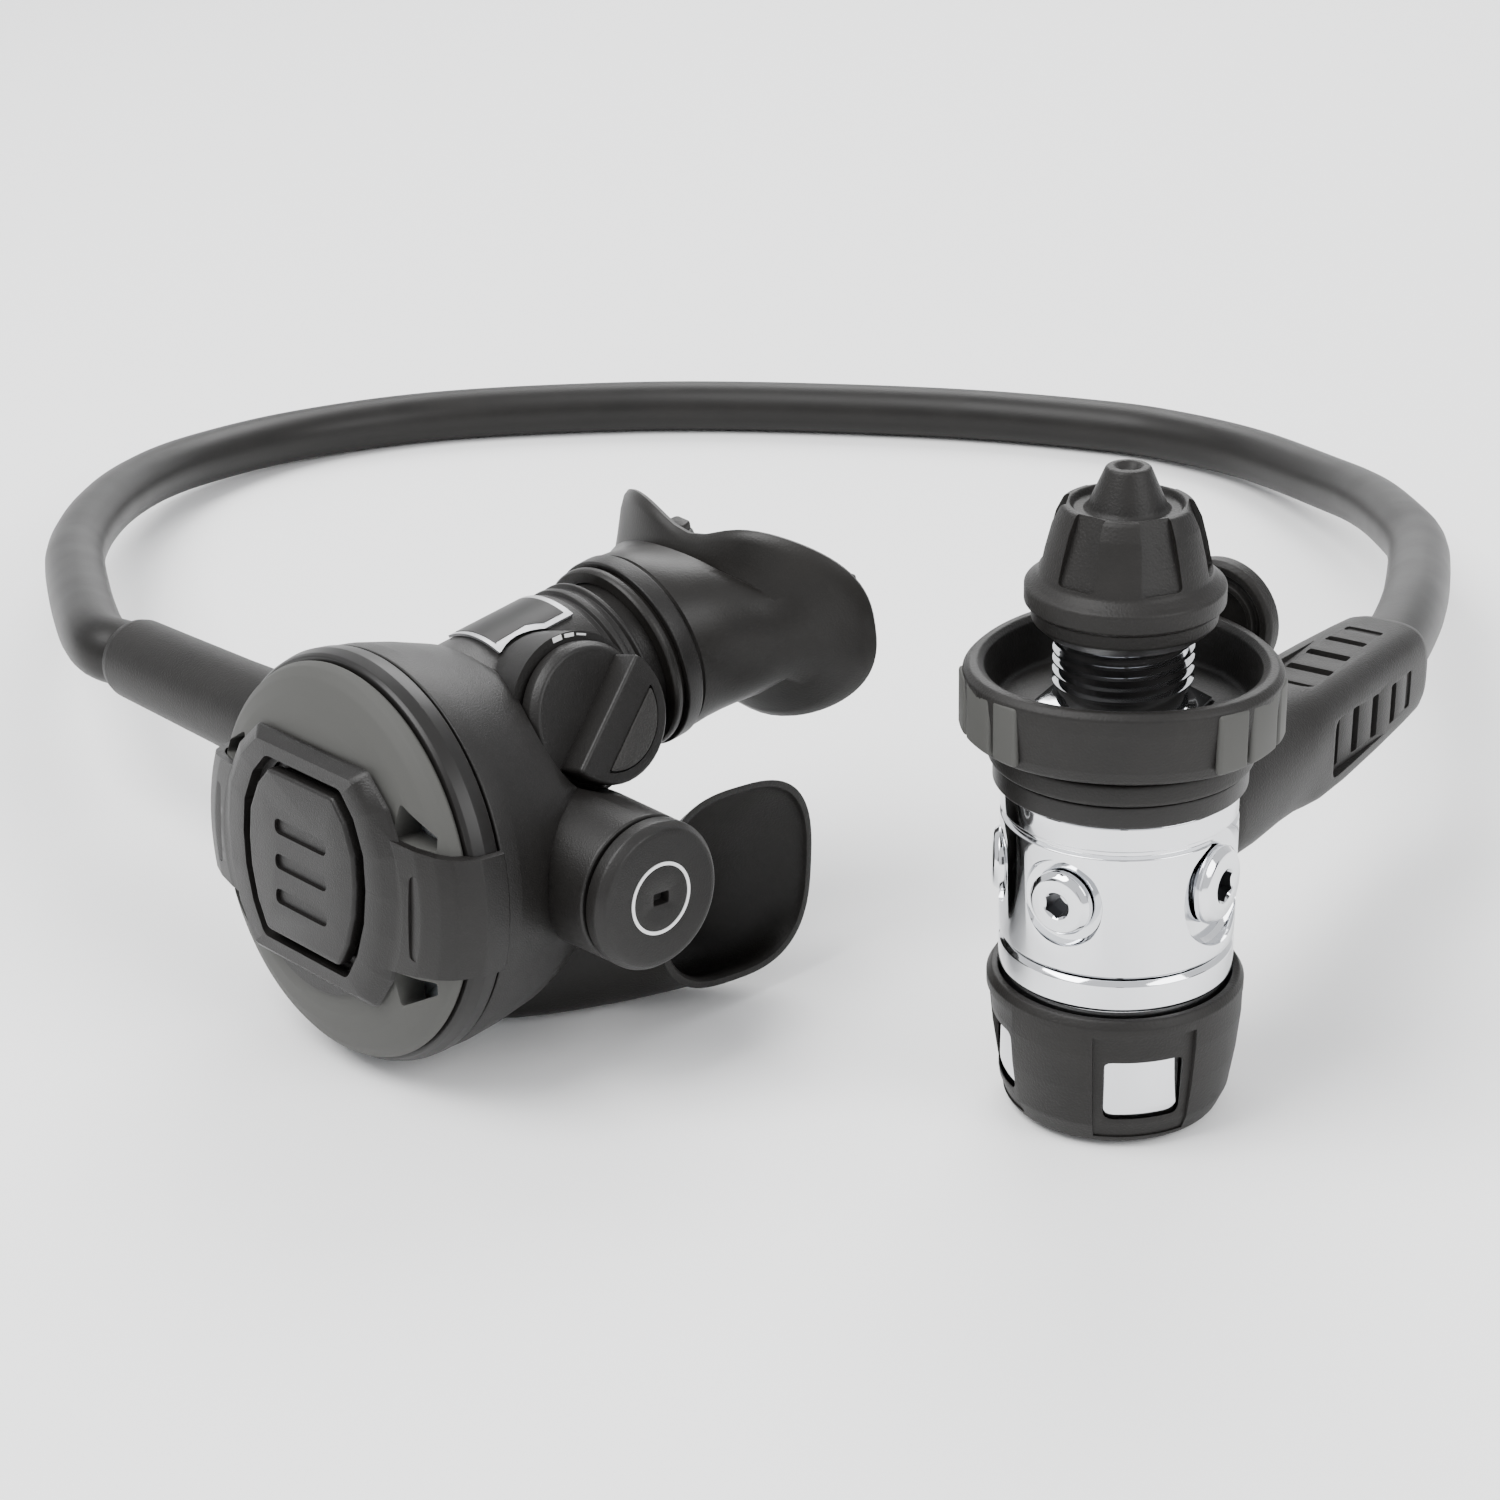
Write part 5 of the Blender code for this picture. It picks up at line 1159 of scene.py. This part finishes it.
    def make_knob(self) -> None:
        """Airflow knob with its half-moon grip and inset panel."""
        base = [
            (0, 18.8, 0), (12.6, 18.8, 0), (13, 19.3, 0.2), (13, 21.4, 0.8), (12, 22.8, 1), (0, 23, 0),
        ]
        knob = turned("airflow_knob", rounded(base), self.knob, PLASTIC, 96)
        grip = prism("grip", self.moon(11.9, 97.0, 1.2), 22, 28.5, self.knob, PLASTIC)
        soften(grip, 1.4, 5)
        join(knob, grip)
        join(knob, cylinder("shaft", 5.8, 12.5, 20, self.knob, 40))
        cut(knob, prism("pocket", self.moon(9.8, 66.0, 1.2), 27.6, 30, self.knob))
        show(knob, Body.VENTURI, "venturi_knob")
        inset = [((x - 6.5) * 0.92 + 6.5, y * 0.94) for x, y in self.moon(9.8, 66.0, 1.2)]
        panel = prism("knob_panel", inset, 27.9, 28.7, self.knob, PANEL)
        show(soften(panel, 0.3, 2), Body.VENTURI, "knob_inset")

    def make_ticks(self) -> None:
        """Plain raised setting marks on the case round the knob."""
        for number, (degrees, half) in enumerate(((141.0, 0.45), (130.0, 0.33), (119.0, 0.18)), start=1):
            angle = math.radians(degrees)
            x, y = 14.1 * math.cos(angle), 14.1 * math.sin(angle)
            place = self.knob @ at(x, y, 18.5, Euler((0, 0, angle)))
            outline = [(-half, -1), (half, -1), (half, 1), (-half, 1)]
            show(prism(f"setting_mark_{number}", outline, -0.2, 0.12, place, PRINT), Body.ROOT)

    def make_label(self) -> None:
        """Thin plain plate on the tube's top, with a dark panel on it."""
        for name, finish, span, lift, ends, room, nodes in (
            ("maker_plate", LABEL, (-118.0, -68.0), (0.1, 0.6), (-28, -11), 15.1, ("label_plate",)),
            ("maker_panel", SMOOTH_PLASTIC, (-114.0, -72.0), (0.4, 0.7), (-27, -12.2), 16.1, ()),
        ):
            turns = [(span[1] - span[0]) * step / 24 for step in range(25)]
            inner = [around(self.tube_radius + lift[0], span[0] + turn) for turn in turns]
            outer = [around(self.tube_radius + lift[1], span[1] - turn) for turn in turns]
            plate = prism(name, inner + outer, *ends, self.tube, finish)
            cut(plate, cylinder("knob_room", room, 8, 30, self.knob))
            show(plate, Body.ROOT, *nodes)

    def ring_of(self, half_width: float, half_height: float, power: float, height: float, sweep: float,
                sag: float = 0, sides: int = 96) -> Ring:
        """Section of the mouthpiece across the tube.

        Args:
            half_width: half its width.
            half_height: half its height.
            power: 2 for an oval, more for squarer corners.
            height: its place along the tube.
            sweep: how far its two sides reach on along the tube.
            sag: how far its two sides hang below its middle.
            sides: points round it.

        Returns:
            The section's points.
        """
        ring: Ring = []
        for _angle, c, s in circle(sides):
            x = half_width * math.copysign(abs(c) ** (2.0 / power), c)
            y = half_height * math.copysign(abs(s) ** (2.0 / power), s)
            share = (x / 34) ** 2
            dip = max(0, min(1.0, (height - 18) / 3)) * (1.0 - math.exp(-(x / 10) ** 2))
            y *= 0.78 + 0.22 * dip if height > 18 and half_height > 10 else 1.0
            ring.append((x, y + sag * share, height + sweep * share))
        return ring

    def make_mouthpiece(self) -> None:
        """Soft mouthpiece: collar, flared neck, lip flange and two bite tabs."""
        stations = [
            (17.4, 17.4, 2.0, 0, 0), (17.7, 17.7, 2.0, 0.3, 0), (17.8, 17.8, 2.0, 1, 0), (17.7, 17.7, 2.0, 1.7, 0),
            (17.1, 17.1, 2.0, 2.1, 0), (17, 17, 2.0, 2.4, 0), (17, 17, 2.0, 6.6, 0), (17.1, 17.1, 2.0, 6.9, 0),
            (17.7, 17.7, 2.0, 7.3, 0), (18, 17.7, 2.0, 8.5, 0.2), (18.7, 17.2, 2.0, 11, 0.5),
            (20.2, 16.4, 2.05, 13.6, 1.4), (22.2, 15.6, 2.1, 16, 3), (24.2, 15, 2.15, 18, 5),
            (26.2, 15, 2.2, 19.4, 7.5), (29, 16.5, 2.35, 20.3, 10), (31.8, 19, 2.5, 21.1, 12),
            (33.1, 20.3, 2.6, 21.9, 12.8), (33.5, 20.7, 2.6, 22.7, 13.1), (33.1, 20.4, 2.6, 23.5, 13.1),
            (31.8, 19.2, 2.55, 24.1, 12.9), (29, 15, 2.5, 24.4, 12.4), (27.2, 11.5, 2.5, 24.7, 12),
            (26.4, 9.8, 2.55, 25.6, 11.6), (26.2, 9.2, 2.6, 26.8, 11.2), (25.6, 8.6, 2.6, 27.2, 11),
        ]
        outer = [self.ring_of(*station) for station in stations]
        lumen = [(15.3, 15.3, 2.0, 0, 0), (15.3, 15.3, 2.0, 13.4, 0),
                 (14.8, 12.5, 2.0, 15, 0), (16, 8.5, 2.2, 20, 4),
                 (18, 6.6, 2.5, 25.5, 9.5), (19.2, 6.6, 2.6, 27.2, 11)]
        inner = [self.ring_of(*station) for station in lumen]
        mouth = lofted("mouthpiece_body", outer + inner[::-1], self.tube, SOFT_RUBBER, wrap=True)
        across = Matrix.Rotation(QUARTER_TURN, 4, "X")
        for side in (-1, 1):
            outline = [(19.5, 26.2, 2), (26.6, 28.5, 2), (27.4, 35, 6),
                       (26, 41, 3), (20.6, 40.6, 3), (17.6, 37.2, 2),
                       (19, 32, 4)]
            points = [(side * x, z) for x, z in rounded(outline, 6)]
            tab = prism("tab", points, -5, 5, self.tube @ across, SOFT_RUBBER)
            soften(tab, 1.2, 3)
            join(mouth, tab)
            nub = rounded([(19.8, 36.8, 1), (25.4, 37.2, 1), (25, 40.4, 1),
                           (20.6, 40, 1)])
            bead = prism("nub", [(side * x, z) for x, z in nub], -6.4, 6.4, self.tube @ across, SOFT_RUBBER)
            soften(bead, 1, 3)
            join(mouth, bead)
        show(mouth, Body.ROOT, "mouthpiece")
        tie = [(17.3, 2.7, 0), (18.3, 2.7, 0.4), (18.3, 6.3, 0.4), (17.3, 6.3, 0)]
        show(turned("tie_band", rounded(tie), self.tube, PLASTIC, 96), Body.ROOT, "mouthpiece_tie")

    def tee_section(self, x: float, low_y: float, high_y: float, low_z: float, high_z: float,
                    sides: int = 80) -> Ring:
        """Section of the exhaust tee across its length."""
        ring: Ring = []
        for _angle, c, s in circle(sides):
            y = math.copysign(abs(c) ** (2.0 / TEE_SQUARENESS), c)
            z = math.copysign(abs(s) ** (2.0 / TEE_SQUARENESS), s)
            ring.append((x, (low_y + high_y) / 2 + y * (high_y - low_y) / 2,
                         (low_z + high_z) / 2 + z * (high_z - low_z) / 2))
        return ring

    def make_tee(self) -> None:
        """Exhaust tee: hollow wings either side of the exhaust valve, with rolled lips."""
        stations = [
            (0, 9, 48, -34.4, -26.2), (8, 10, 50, -34.4, -25.6), (14.5, 18, 54.5, -34.2, -19),
            (20, 29, 62, -33.3, -10), (26, 37, 69, -31, 1), (31, 38.5, 73.5, -28.5, 7.5), (33, 37.5, 74.5, -28.7, 9),
        ]
        half = smoothed([stations[0], *stations, stations[-1]], 6)
        wall = 1.2
        both = [(-x, *rest) for x, *rest in half[:0:-1]] + half
        outer = [self.tee_section(*station) for station in both]
        inner = [self.tee_section(x, y0 + wall, y1 - wall, z0 + wall, z1 - wall) for x, y0, y1, z0, z1 in both]
        tee = lofted("exhaust_wings", outer + inner[::-1], self.base, RUBBER, wrap=True)
        cut(tee, cylinder("inlet", 12.9, -34.5, -10, self.along(Euler(), 0, 20)))
        room = [
            (0, -10, 0), (37.3, -10, 0), (37.1, 3, 0), (36.1, 10.4, 0), (34.2, 18.5, 0), (31.3, 25.1, 0),
            (26.7, 30.3, 0), (20.4, 33.5, 0), (12.1, 35.3, 0), (0, 35.7, 0),
        ]
        cut(tee, turned("room", rounded(room), self.along(ALONG_Y), None, 96))
        cut(tee, cylinder("tube_room", self.tube_radius + 0.4, -35, 0, self.tube))
        cut(tee, cylinder("barrel_room", 14.2, 10, 60, self.barrel))
        cut(tee, cylinder("inlet_room", 12.1, -70, -10, self.barrel))
        show(soften(tee, 0.4, 3), Body.ROOT, "exhaust_tee")

    def make(self) -> None:
        """Build every piece of the second stage."""
        self.make_case()
        self.make_cover()
        self.make_purge()
        self.make_end_cap()
        self.make_knob()
        self.make_ticks()
        self.make_label()
        self.make_mouthpiece()
        self.make_tee()


# ---- pieces that keep their frame shape
KEPT_NODES: dict[str, Finish] = {
    "din_retainer": CHROME, "valve_barrel": CHROME, "barrel_nut": CHROME, "hose_fitting": CHROME,
    "ferrule_first": CHROME, "ferrule_second": CHROME, "piston": STEEL, "piston_spring": STEEL,
    "purge_spring": STEEL, "poppet": STEEL, "poppet_spring": STEEL, "orifice": STEEL, "demand_lever": STEEL,
    "diaphragm_plate": STEEL, "filter_clip": STEEL, "balance_cylinder": BRASS, "sintered_filter": BRONZE,
    "piston_head_oring": RUBBER, "stem_oring": RUBBER, "retainer_oring": RUBBER, "din_oring": RUBBER,
    "venturi_vane": PLASTIC, "diaphragm": SILICONE, "exhaust_valve": SILICONE, "piston_seat": POLYMER,
    "poppet_seat": POLYMER,
}


def dress_kept_nodes() -> None:
    """Give the frame's own nodes that stay in sight their finishes."""
    for name, finish in KEPT_NODES.items():
        node = bpy.data.objects[name]
        material = finish.material()
        if not node.material_slots:
            node.data.materials.append(material)
        for held in node.material_slots:
            held.material = material


def main() -> None:
    """Build the looks round the frame, class by class."""
    logging.basicConfig(level=logging.INFO, format="%(name)s %(message)s")
    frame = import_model()
    frames = Frames.of(frame["record"])
    Studio().make()
    Hose(frames).make()
    FirstStage(frames.first).make()
    Connector(frames.first).make()
    SecondStage(frames.second).make()
    dress_kept_nodes()


if __name__ == "__main__":
    main()
